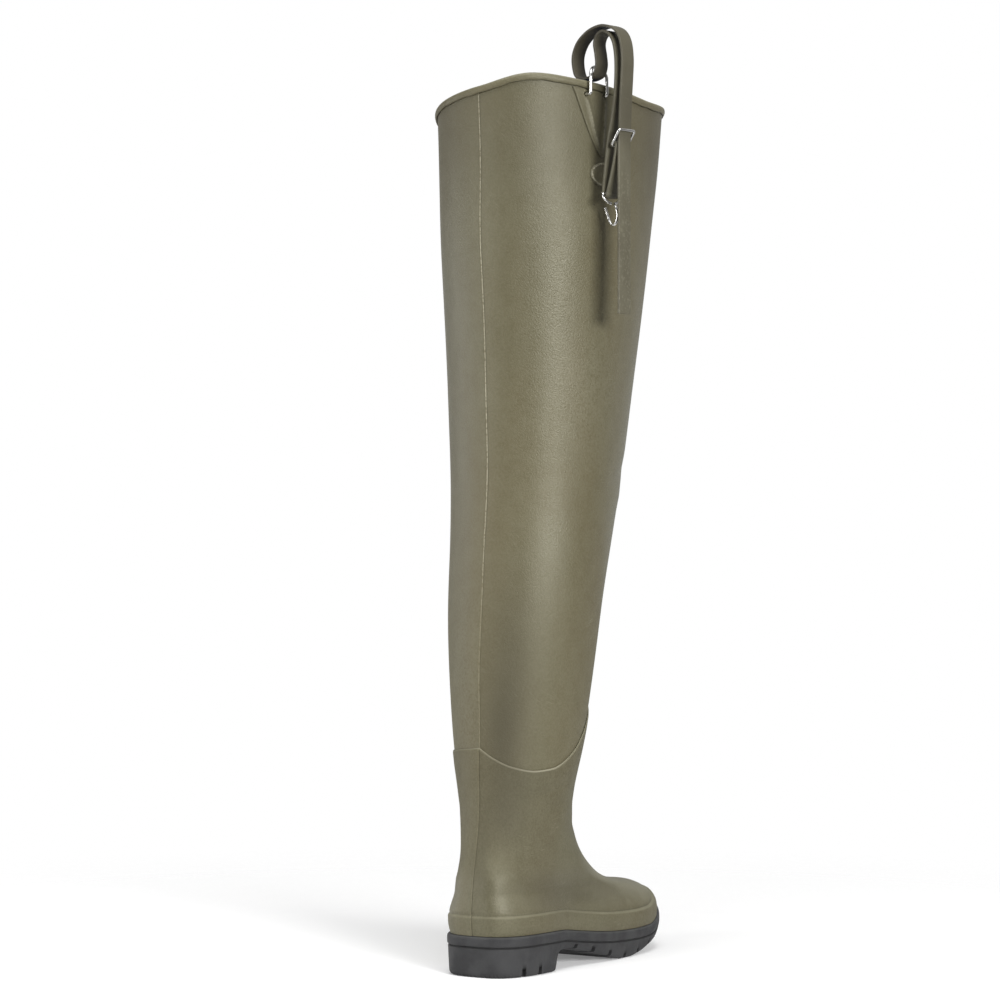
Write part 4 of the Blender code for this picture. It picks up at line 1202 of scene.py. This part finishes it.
def sole_tread(edge, depth, count, points):
    """The underside: lines of points from the outer edge to the inner, each at its lug's height."""
    total = len(edge)
    lines = [[0]]
    for j in range(1, count - 1):
        right, left = edge[j], edge[total - j]
        along = right[1]
        half = min(abs(right[0]), abs(left[0]))
        inner = HEEL_GROOVE_INNER if along < HEEL_END else TREAD_INNER
        inner = min(inner, 0.6 * half)
        slanted = smoothstep(along, *SLANT_FROM) * (1 - smoothstep(along, *SLANT_UNTIL))
        slant = TREAD_SLANT * float(slanted)
        line = [j]
        for side, reach in ((1.0, right[0]), (-1.0, left[0])):
            spots = [0.7, 0.35] if side > 0 else [0.35, 0.7]
            steps = [(inner + 0.5 + (abs(reach) - inner - 0.5) * s, 1.0) for s in spots]
            walls = [(inner + 0.5, 1.0), (inner - 0.5, 0.0)]
            chosen = [*steps, *walls, (0.0, 0.0)] if side > 0 else [*reversed(walls), *steps]
            for out, share in chosen:
                ahead = along + slant * (abs(reach) - out)
                base = float(sole_bottom(np.array(ahead)))
                notch = depth[j] * share
                line.append(len(points))
                points.append(np.array((side * out + float(sway(np.array(ahead))), ahead, base + notch)))
        line.append(total - j)
        lines.append(line)
    faces = []
    for before, after in zip(lines, lines[1:]):
        if len(before) == 1:
            faces += [(before[0], after[k + 1], after[k]) for k in range(len(after) - 1)]
        else:
            faces += [(before[k], before[k + 1], after[k + 1], after[k]) for k in range(len(after) - 1)]
    tip = count - 1
    faces += [(lines[-1][k], lines[-1][k + 1], tip) for k in range(len(lines[-1]) - 1)]
    return faces


dress(make_sole(), "root", "sole_rubber", "outsole")

# %% [markdown]
# The strap assembly hangs in one upright plane beside the leg, so its routes are lists of two
# numbers: out from the eyelets, and up. The band starts at the buckle's lower bar, turns round the
# hook's eye, goes over the top, through the ring, over the top again and down through the buckle.

# %% The strap's own plane
RING_ALONG = 79.0
EYELET_HEIGHT = 818.3
EYELET_RADIUS = 2.2
RING_HALF_WIDTH = 11.0
RING_WIRE = 1.5
STRAP_TURN = math.radians(12.0)
STRAP_WIDTH = 16.0
STRAP_THICKNESS = 2.4
FITTING_WIRE = 1.2
FITTING_HALF_WIDTH = 10.4
STRAP_GAP = 0.3
STRAP_TO_HOOK = ((31.6, -62.0), (27.4, -78.0))
STRAP_TO_BUCKLE = (
    (18.4, -82.0), (20.6, -66.0), (22.8, -50.0), (24.6, -40.0), (28.6, -22.0), (32.2, 1.0), (33.0, 27.0),
    (30.4, 44.0), (24.6, 53.4), (16.4, 57.2), (9.4, 54.4), (6.2, 47.0), (7.9, 36.6), (8.8, 26.6),
    (5.4, 18.4), (-2.8, 15.4), (-10.8, 15.6), (-17.6, 19.4), (-20.8, 30.0), (-20.3, 40.0), (-14.8, 50.0),
    (-4.8, 57.6), (6.2, 61.6), (18.0, 62.2), (31.2, 57.2), (38.6, 46.6), (41.2, 30.4), (40.5, 12.6),
    (38.9, -9.7), (37.8, -37.4), (37.2, -51.0), (37.0, -76.0), (37.0, -120.0), (37.0, -163.0),
    (37.0, -206.0),
)
BUCKLE_LOWER_BAR = (31.0, -50.4)
BUCKLE_UPPER_BAR = (40.6, -36.6)
HOOK_EYE = (19.8, -94.5)
HOOK_NECK = (23.0, -103.6)
HOOK_BEND = (
    (27.0, -107.0), (28.8, -114.0), (26.8, -121.0), (22.6, -123.0), (19.2, -119.6), (16.2, -113.0),
    (13.4, -106.4),
)


def side_angle(along, level):
    """The angle at which the leg's outer side passes a place along the foot."""
    form = {name: np.interp(level, LEVELS, FORM[name]) for name in ("wide_at", "back", "back_fullness")}
    share = (along - form["wide_at"]) / (form["wide_at"] - form["back"])
    cosine = -np.sign(share) * np.abs(share) ** (form["back_fullness"] / 2)
    return np.arccos(np.clip(cosine, -1.0, 1.0))


STRAP_OUT = float(surface(side_angle(RING_ALONG, EYELET_HEIGHT), EYELET_HEIGHT)[0])


def strap_place(out, up, across=0.0):
    """A point given as out and up from the eyelets, and across the band."""
    x = STRAP_OUT + out * math.cos(STRAP_TURN) + across * math.sin(STRAP_TURN)
    along = RING_ALONG + across * math.cos(STRAP_TURN) - out * math.sin(STRAP_TURN)
    return np.array((x, along, EYELET_HEIGHT + up))


def curve_through(points, pieces):
    """A smooth curve through points, with this many pieces between each two."""
    points = [np.array(p, float) for p in points]
    longer = [2 * points[0] - points[1], *points, 2 * points[-1] - points[-2]]
    found = []
    for a, b, c, d in zip(longer, longer[1:], longer[2:], longer[3:]):
        for k in range(pieces):
            t = k / pieces
            bow = 2 * a - 5 * b + 4 * c - d
            twist = 3 * b - a - 3 * c + d
            found.append(0.5 * (2 * b + (c - a) * t + bow * t**2 + twist * t**3))
    return [*found, points[-1]]


def arc(centre, radius, first, last, pieces):
    turns = np.radians(np.linspace(first, last, pieces + 1))
    return [(centre[0] + radius * math.cos(t), centre[1] + radius * math.sin(t)) for t in turns]


print("strap plane:", round(STRAP_OUT, 1), "mm out from the middle of the boot")

# %% [markdown]
# The band is one strip. A curve with a bevel would turn it on edge in the tight bends, so its section
# is laid across the route at every point, one by one. Its upper loops and folds carry painted shade,
# and its tail is a little worn.

# %% The band
BAND_CORNER = 0.6
BAND_STEPS = 8
TURN_STEPS = 18


def rounded_section(half, thick, corner, pieces=3):
    """A rectangle with round corners, as (across, through) points."""
    section = []
    for side, level, start in ((1, 1, 0), (-1, 1, 90), (-1, -1, 180), (1, -1, 270)):
        for k in range(pieces + 1):
            turn = math.radians(start + 90 * k / pieces)
            across = side * (half - corner) + corner * math.cos(turn)
            section.append((across, level * (thick - corner) + corner * math.sin(turn)))
    return section


def make_strap():
    radius = FITTING_WIRE + STRAP_GAP + STRAP_THICKNESS / 2
    start = arc(BUCKLE_LOWER_BAR, radius, 200.0, -10.0, TURN_STEPS)
    turn = arc(HOOK_EYE, radius, 15.0, -195.0, TURN_STEPS)
    line = [*start, *curve_through([start[-1], *STRAP_TO_HOOK, turn[0]], BAND_STEPS)[1:-1], *turn]
    line += curve_through([turn[-1], *STRAP_TO_BUCKLE], BAND_STEPS)[1:]
    line = np.array([np.asarray(p, float) for p in line])
    tangent = np.gradient(line, axis=0)
    tangent /= np.linalg.norm(tangent, axis=1, keepdims=True)
    section = rounded_section(STRAP_WIDTH / 2, STRAP_THICKNESS / 2, BAND_CORNER)
    rows = []
    for (out, up), (way_out, way_up) in zip(line, tangent):
        rows.append([strap_place(out - way_up * t, up + way_out * t, a) for a, t in section])
    rows = np.array(rows)
    faces = ring_faces(len(rows), len(section)) + end_faces(len(rows), len(section))
    strap = make_piece("belt_strap", rows.reshape(-1, 3), faces, (strap_rubber,))
    # Painted shade: the upper loops and the top of the band are painted darker where they face away from the
    # light.
    shaded_loops = (1 - smoothstep(line[:, 0], 20.0, 32.0)) * smoothstep(line[:, 1], -30.0, 0.0)
    worn = smoothstep(line[:, 0], 28.0, 36.0) * (1 - smoothstep(line[:, 1], -90.0, -50.0))
    whole = np.ones(len(section))
    upper_band_shade = 0.4 * smoothstep(line[:, 1], -60.0, -20.0)
    paint(strap, "dark", np.maximum(0.9 * shaded_loops, upper_band_shade)[:, None] * whole)
    paint(strap, "pale", 0.14 * worn[:, None] * whole)
    return strap


dress(make_strap(), "root", "strap_rubber", "strap")

# %% [markdown]
# Ring, buckle and hook are bent from wire, so each is a route of a few corners, smoothed, with a
# round section along it. Bends in real wire are never sharp, and the smoothing gives them their radius.


# %% Wire pieces
WIRE_SIDES = 14


def wire_rows(route, radius, sides, closed):
    """Rings of points along a wire, with a frame that doesn't twist."""
    route = np.array(route, float)
    if closed:
        tangent = np.roll(route, -1, axis=0) - np.roll(route, 1, axis=0)
    else:
        tangent = np.gradient(route, axis=0)
    tangent /= np.linalg.norm(tangent, axis=1, keepdims=True)
    normal = np.cross(tangent[0], (0.3, 1.0, 0.2))
    turns = np.linspace(0, 2 * np.pi, sides, endpoint=False)
    rows = []
    for centre, way in zip(route, tangent):
        normal = normal - way * np.dot(normal, way)
        normal /= np.linalg.norm(normal)
        other = np.cross(way, normal)
        rows.append([centre + radius * (math.cos(t) * normal + math.sin(t) * other) for t in turns])
    return np.array(rows)


def round_corners(points, pieces, closed):
    """A closed or open route, smoothed through its points."""
    points = [np.array(p, float) for p in points]
    if not closed:
        return curve_through(points, pieces)
    longer = [points[-1], *points, points[0], points[1]]
    return curve_through(longer, pieces)[pieces : -pieces - 1]


def make_wire(name, route, radius, closed, sides=WIRE_SIDES):
    rows = wire_rows(route, radius, sides, closed)
    faces = ring_faces(len(rows), sides, closed=closed)
    if not closed:
        faces += end_faces(len(rows), sides)
    return make_piece(name, rows.reshape(-1, 3), faces, (wire,), crease=60.0)


def ring_route():
    bend, inner, outer, lean, crown_from = 2.2, -6.4, 5.4, 3.4, 15.0
    half = RING_HALF_WIDTH
    side = [
        (inner, -half + bend, 0.0), (inner + 0.6, -half + 0.5, 0.0), (inner + bend, -half, 0.0),
        (outer - bend, -half, 0.0), (outer - 0.6, -half, 0.7), (outer, -half, bend + 0.3),
        (outer, -half, crown_from),
    ]
    for k in range(1, 8):
        turn = math.pi * k / 16
        up = crown_from + half * math.sin(turn)
        side.append((outer - lean * math.sin(turn) ** 2, -half * math.cos(turn), up))
    loop = [*side, (outer - lean, 0.0, crown_from + half), *[(o, -a, u) for o, a, u in reversed(side)]]
    return [strap_place(o, u, a) for o, a, u in loop]


def buckle_route():
    low, high = np.array(BUCKLE_LOWER_BAR), np.array(BUCKLE_UPPER_BAR)
    bend, half = 2.4, FITTING_HALF_WIDTH
    way = (high - low) / np.linalg.norm(high - low)
    corners = []
    for place, turn, side in ((low, way, -1), (high, -way, -1), (high, -way, 1), (low, way, 1)):
        on_side = (*(place + bend * turn), side * half)
        middle = (*(place + 0.3 * bend * turn), side * (half - 0.3 * bend))
        on_bar = (*place, side * (half - bend))
        first_is_bar = (side < 0) == (place is low)
        corners += [on_bar, middle, on_side] if first_is_bar else [on_side, middle, on_bar]
    return [strap_place(o, u, a) for o, u, a in corners]


def hook_route():
    """One wire: from the neck round the eye, back to the neck and on into the bend."""
    half = FITTING_HALF_WIDTH
    eye, neck = np.array(HOOK_EYE), np.array(HOOK_NECK)

    def on_side(share, across):
        return (*(eye + (neck - eye) * share), across)

    side = [
        on_side(0.98, -half * 0.2), on_side(0.85, -half * 0.55), on_side(0.55, -half + 0.6),
        on_side(0.2, -half), on_side(0.03, -half + 0.5), on_side(0.0, -half + 2.2),
    ]
    eye_loop = [*side, *[(o, u, -a) for o, u, a in reversed(side)]]
    path = [*eye_loop, *[(o, u, 0.0) for o, u in HOOK_BEND]]
    return [strap_place(o, u, a) for o, u, a in path]


RING_STEPS = 4
BUCKLE_STEPS = 5
HOOK_STEPS = 6
ring = make_wire("strap_loop", round_corners(ring_route(), RING_STEPS, True), RING_WIRE, True)
dress(ring, "root", "bright_wire", "strap_ring")
buckle = make_wire("buckle_frame", round_corners(buckle_route(), BUCKLE_STEPS, True), FITTING_WIRE, True)
dress(buckle, "root", "bright_wire", "buckle")
hook = make_wire("belt_hook", round_corners(hook_route(), HOOK_STEPS, False), FITTING_WIRE, False)
dress(hook, "hook", "bright_wire", "strap_hook")

# %% [markdown]
# Under the ring a pointed patch spreads the strap's pull. It is a second layer of rubber, thin at
# its edge, with a moulded ridge from each eyelet towards the point. Below it sits a small oval
# badge, left plain. Both are grids of points laid on the leg's own surface.


# %% The patch and the badge
PLATE_GAP = 0.05
PLATE_FOOT = 0.3


def laid_grid(places, levels, rises):
    """A closed plate on the leg: places along, levels and heights above the skin, as grids."""
    angle = side_angle(places, levels)
    base, normal = surface(angle, levels), surface_normal(angle, levels)
    base = base + normal * crease_rise(angle, levels)[..., None]
    front = base + normal * rises[..., None]
    back = base + normal * PLATE_GAP
    count, wide = places.shape
    points = np.concatenate((back.reshape(-1, 3), front.reshape(-1, 3)))
    over = count * wide
    faces = []
    for i in range(count - 1):
        for j in range(wide - 1):
            a, b, c, d = i * wide + j, i * wide + j + 1, (i + 1) * wide + j + 1, (i + 1) * wide + j
            faces.append((a, b, c, d))
            faces.append((over + d, over + c, over + b, over + a))
    border = list(range(wide)) + [i * wide + wide - 1 for i in range(1, count)]
    border += [(count - 1) * wide + j for j in reversed(range(wide - 1))]
    border += [i * wide for i in reversed(range(1, count - 1))]
    for a, b in zip(border, [*border[1:], border[0]]):
        faces.append((b, a, over + a, over + b))
    return points, faces


PATCH_DROP = 63.0
PATCH_HALF = 26.0
PATCH_SHIFT = 4.0
PATCH_LEAN = 6.5
PATCH_THICKNESS = 1.3
PATCH_EDGE = 1.3
PATCH_POINT = 5.0
PATCH_BELOW_RIM = 1.2
PATCH_ROWS = 72
PATCH_COLUMNS = 61
RIDGE_RISE = 1.2
RIDGE_HALF = 1.7


def below_rim(along):
    return float(leg_top(side_angle(along, EYELET_HEIGHT))) - BINDING_OUTSIDE - PATCH_BELOW_RIM


def make_patch():
    first = RING_ALONG + PATCH_SHIFT - PATCH_HALF
    top = below_rim(first)
    slope = (below_rim(first + 2 * PATCH_HALF) - top) / (2 * PATCH_HALF)
    share = (1 - np.cos(np.linspace(0.0, np.pi, PATCH_ROWS))) / 2
    across = np.sin(np.linspace(-np.pi / 2, np.pi / 2, PATCH_COLUMNS)) / 2 + 0.5
    point = PATCH_POINT * np.sqrt(np.maximum(0.0, 1 - share**4)) * share
    wide = PATCH_HALF * (1 - share) ** 0.9 + point + 0.8
    middle = RING_ALONG + PATCH_SHIFT + PATCH_LEAN * share
    places = middle[:, None] + wide[:, None] * (2 * across[None, :] - 1)
    levels = top - PATCH_DROP * share[:, None] + (2 * wide * slope * (1 - share))[:, None] * across[None, :]
    edge = wide[:, None] * (1 - np.abs(2 * across[None, :] - 1))
    edge = np.minimum(edge, PATCH_DROP * (1 - share)[:, None])
    edge = np.minimum(edge, (PATCH_DROP * share)[:, None] + 0.4)
    rises = PLATE_FOOT + PATCH_THICKNESS * np.sqrt(np.clip(edge / PATCH_EDGE, 0.0, 1.0))
    # The pale mask on the ridges is a painted highlight along their crests.
    crest_highlight = np.zeros_like(rises)
    for side in (-1.0, 1.0):
        path = RING_ALONG + side * RING_HALF_WIDTH * (1 - share) ** 0.8 + PATCH_LEAN * share + 2.0 * share
        window = smoothstep(share, 0.10, 0.2) * (1 - smoothstep(share, 0.8, 0.97))
        ridge = bell(places, path[:, None], RIDGE_HALF)
        rises = rises + RIDGE_RISE * ridge * window[:, None]
        crest_highlight = np.maximum(crest_highlight, 0.5 * ridge**4 * window[:, None])
    points, faces = laid_grid(places, levels, rises)
    patch = make_piece("strap_anchor_patch", points, faces, (olive,))
    paint(patch, "pale", np.concatenate((np.zeros(edge.size), crest_highlight.ravel())))
    # Painted shade along the patch's thin edge, plus the painted shade under the rim.
    dark = np.maximum(RIM_SHADE, 0.85 * bell(edge.ravel(), 0.0, 0.6))
    paint(patch, "dark", np.concatenate((np.zeros(edge.size), dark)))
    return patch


BADGE_ALONG = 92.0
BADGE_HEIGHT = 745.0
BADGE_HALF_WIDTH = 16.0
BADGE_HALF_HEIGHT = 11.5
BADGE_COUNT = 41
BADGE_RISE = 0.7
BADGE_RIM = (0.88, 0.05)
BADGE_RIM_RISE = 0.35
BADGE_FOOT = (1.0, 0.04)


def make_badge():
    share = np.sin(np.linspace(-np.pi / 2, np.pi / 2, BADGE_COUNT))
    wide = np.maximum(1.0, BADGE_HALF_WIDTH * np.sqrt(1 - share**2))
    across, up = wide[:, None] * share[None, :], -BADGE_HALF_HEIGHT * share[:, None] * np.ones_like(share)
    places, levels = BADGE_ALONG + across, BADGE_HEIGHT + up
    from_middle = (places - BADGE_ALONG) / BADGE_HALF_WIDTH, (levels - BADGE_HEIGHT) / BADGE_HALF_HEIGHT
    radius = np.sqrt(from_middle[0] ** 2 + from_middle[1] ** 2)
    rim, foot = bell(radius, *BADGE_RIM), bell(radius, *BADGE_FOOT)
    rises = PLATE_FOOT + BADGE_RISE * np.clip((1.0 - radius) / 0.06, 0.0, 1.0) ** 0.5
    points, faces = laid_grid(places, levels, rises + BADGE_RIM_RISE * rim)
    badge = make_piece("plain_badge", points, faces, (olive,))
    paint(badge, "pale", np.concatenate((np.zeros(radius.size), 1.2 * rim.ravel())))
    # The dark ring round the badge's foot is painted shade.
    paint(badge, "dark", np.concatenate((np.zeros(radius.size), 0.7 * foot.ravel())))
    return badge


patch = dress(make_patch(), "root", "olive_rubber", "strap_patch")
dress(make_badge(), "root", "olive_rubber", "badge_blank")

# %% [markdown]
# The ring's legs pass through two real holes in patch and leg. A Boolean cut is the plain way to
# make them, and it comes last, when both meshes are finished.


# %% Eyelets
CUTTER_REACH = 9.0
CUTTER_SIDES = 20


def pierce(piece):
    cutters = []
    for side in (-RING_HALF_WIDTH, RING_HALF_WIDTH):
        route = [strap_place(out, 0.0, side) for out in (-CUTTER_REACH, 0.0, CUTTER_REACH)]
        cutters.append(make_wire("eyelet_cutter", route, EYELET_RADIUS, False, CUTTER_SIDES))
    for cutter in cutters:
        cut = piece.modifiers.new("eyelet", "BOOLEAN")
        cut.operation = "DIFFERENCE"
        cut.object = cutter
    seen = piece.evaluated_get(bpy.context.evaluated_depsgraph_get())
    mesh = bpy.data.meshes.new_from_object(seen)
    piece.modifiers.clear()
    piece.data = mesh
    for cutter in cutters:
        bpy.data.objects.remove(cutter)
    print(f"{piece.name}: pierced, {len(mesh.vertices)} points")


for layer in (leg, patch):
    pierce(layer)

# %% [markdown]
# The insole is a flat sock of the same knit, deep inside the boot. Its solid already has the right
# shape, so it stays as it is and only takes the lining's finish.

# %% The insole
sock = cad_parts["insole"]
sock.data.materials.clear()
sock.data.materials.append(knit)
print("insole:", sock.data.materials[0].name)

# %% [markdown]
# The stage is plain: a pale floor, a white surround, and soft lights. The main light stands to the
# camera's right, so that the strap's soft shadow falls to the left of the strap. Two weaker lights on
# the left lift the strip beside the seam, and a wide one above reaches the vamp and the rim. The
# surround is brightest behind the boot and a little to the right, which pales the leg's right edge.


# %% Floor and light
CAMERA_AZIMUTH = 33.0
FLOOR_SIZE = 30.0
FLOOR_FADE = (0.35, 1.2)
BACKDROP_TURN = 22.0
BACKDROP_EDGE = (0.3, 0.92)
ROOM_LIGHT = 0.16
BACKDROP_LIGHT = 0.68
# Each light: name, azimuth, distance, height, size, power, and the height that it looks at
LIGHTS = (
    ("main_light", 61.0, 2.9, 1.12, (1.1, 0.7), 87.0, 0.6),
    ("left_light", -76.0, 2.2, 0.38, (1.6, 1.3), 17.0, 0.26),
    ("near_left_light", -29.0, 2.6, 0.9, (0.9, 0.8), 22.0, 0.6),
    ("top_light", 33.0, 0.8, 2.8, (1.6, 1.6), 48.0, 0.45),
)


def pale_floor():
    made, tree, shader = new_material("pale_floor")
    shader.inputs["Base Color"].default_value = (0.90, 0.90, 0.90, 1.0)
    shader.inputs["Roughness"].default_value = 0.9
    shader.inputs["Specular IOR Level"].default_value = 0.1
    shader.inputs["Emission Color"].default_value = (1.0, 1.0, 1.0, 1.0)
    shader.inputs["Emission Strength"].default_value = 0.18
    away = node(tree, "ShaderNodeVectorMath", {0: object_place(tree)}, operation="LENGTH").outputs["Value"]
    tree.links.new(remap(tree, away, *FLOOR_FADE, 1.0, 0.0), shader.inputs["Alpha"])
    mesh = bpy.data.meshes.new("floor")
    corners = [(x * FLOOR_SIZE, y * FLOOR_SIZE, 0.0) for x, y in ((-1, -1), (1, -1), (1, 1), (-1, 1))]
    mesh.from_pydata(corners, [], [(0, 1, 2, 3)])
    mesh.materials.append(made)
    floor = bpy.data.objects.new("floor", mesh)
    bpy.context.scene.collection.objects.link(floor)


def white_surround():
    """White to the camera. As light, it is a dim room with a bright backdrop behind the boot."""
    world = bpy.data.worlds.new("surround")
    bpy.context.scene.world = world
    world.use_nodes = True
    tree = world.node_tree
    background = tree.nodes["Background"]
    seen = tree.nodes.new("ShaderNodeLightPath").outputs["Is Camera Ray"]
    turn = math.radians(CAMERA_AZIMUTH - BACKDROP_TURN)
    behind = (-math.sin(turn), math.cos(turn), 0.15)
    way = tree.nodes.new("ShaderNodeTexCoord").outputs["Generated"]
    facing = node(tree, "ShaderNodeVectorMath", {0: way, 1: behind}, operation="DOT_PRODUCT").outputs["Value"]
    light = remap(tree, facing, *BACKDROP_EDGE, ROOM_LIGHT, BACKDROP_LIGHT)
    strength = node(tree, "ShaderNodeMapRange", {"Value": seen, "To Min": light, "To Max": 1.0})
    background.inputs["Color"].default_value = (1.0, 1.0, 1.0, 1.0)
    tree.links.new(strength.outputs["Result"], background.inputs["Strength"])


def soft_light(name, azimuth, distance, height, size, power, aim):
    """A rectangular light that looks at the boot's upright middle line."""
    data = bpy.data.lights.new(name, "AREA")
    data.shape = "RECTANGLE"
    data.size, data.size_y = size
    data.energy = power
    light = bpy.data.objects.new(name, data)
    turn = math.radians(azimuth)
    light.location = (distance * math.sin(turn), -distance * math.cos(turn), height)
    way = Vector((0.0, 0.05, aim)) - light.location
    light.rotation_mode = "QUATERNION"
    light.rotation_quaternion = way.to_track_quat("-Z", "Y")
    bpy.context.scene.collection.objects.link(light)


pale_floor()
white_surround()
for light_row in LIGHTS:
    soft_light(*light_row)
print("lights:", len(LIGHTS))

# %% [markdown]
# The camera stands behind the boot and to its outer side, a little below the middle of the leg, with
# a long lens, as in a shop photograph. Its small pan and tilt put the boot in the same place in the
# frame.

# %% Camera
CAMERA_DISTANCE = 2.8
CAMERA_HEIGHT = 0.399
CAMERA_PAN = 0.548
CAMERA_TILT = 0.850
CAMERA_LENS = 109.15
CAMERA_SENSOR = 36.0
camera_data = bpy.data.cameras.new("camera")
camera_data.lens = CAMERA_LENS
camera_data.sensor_width = CAMERA_SENSOR
camera = bpy.data.objects.new("camera", camera_data)
camera_turn = math.radians(CAMERA_AZIMUTH)
camera.location = (
    CAMERA_DISTANCE * math.sin(camera_turn),
    -HEEL_MIDDLE * MM - CAMERA_DISTANCE * math.cos(camera_turn),
    CAMERA_HEIGHT,
)
camera.rotation_euler = (
    math.radians(90.0 + CAMERA_TILT), 0.0, math.radians(CAMERA_AZIMUTH - CAMERA_PAN)
)
bpy.context.scene.collection.objects.link(camera)
bpy.context.scene.camera = camera
bpy.context.scene.view_settings.view_transform = "Standard"
print("camera:", [round(v, 3) for v in camera.location])
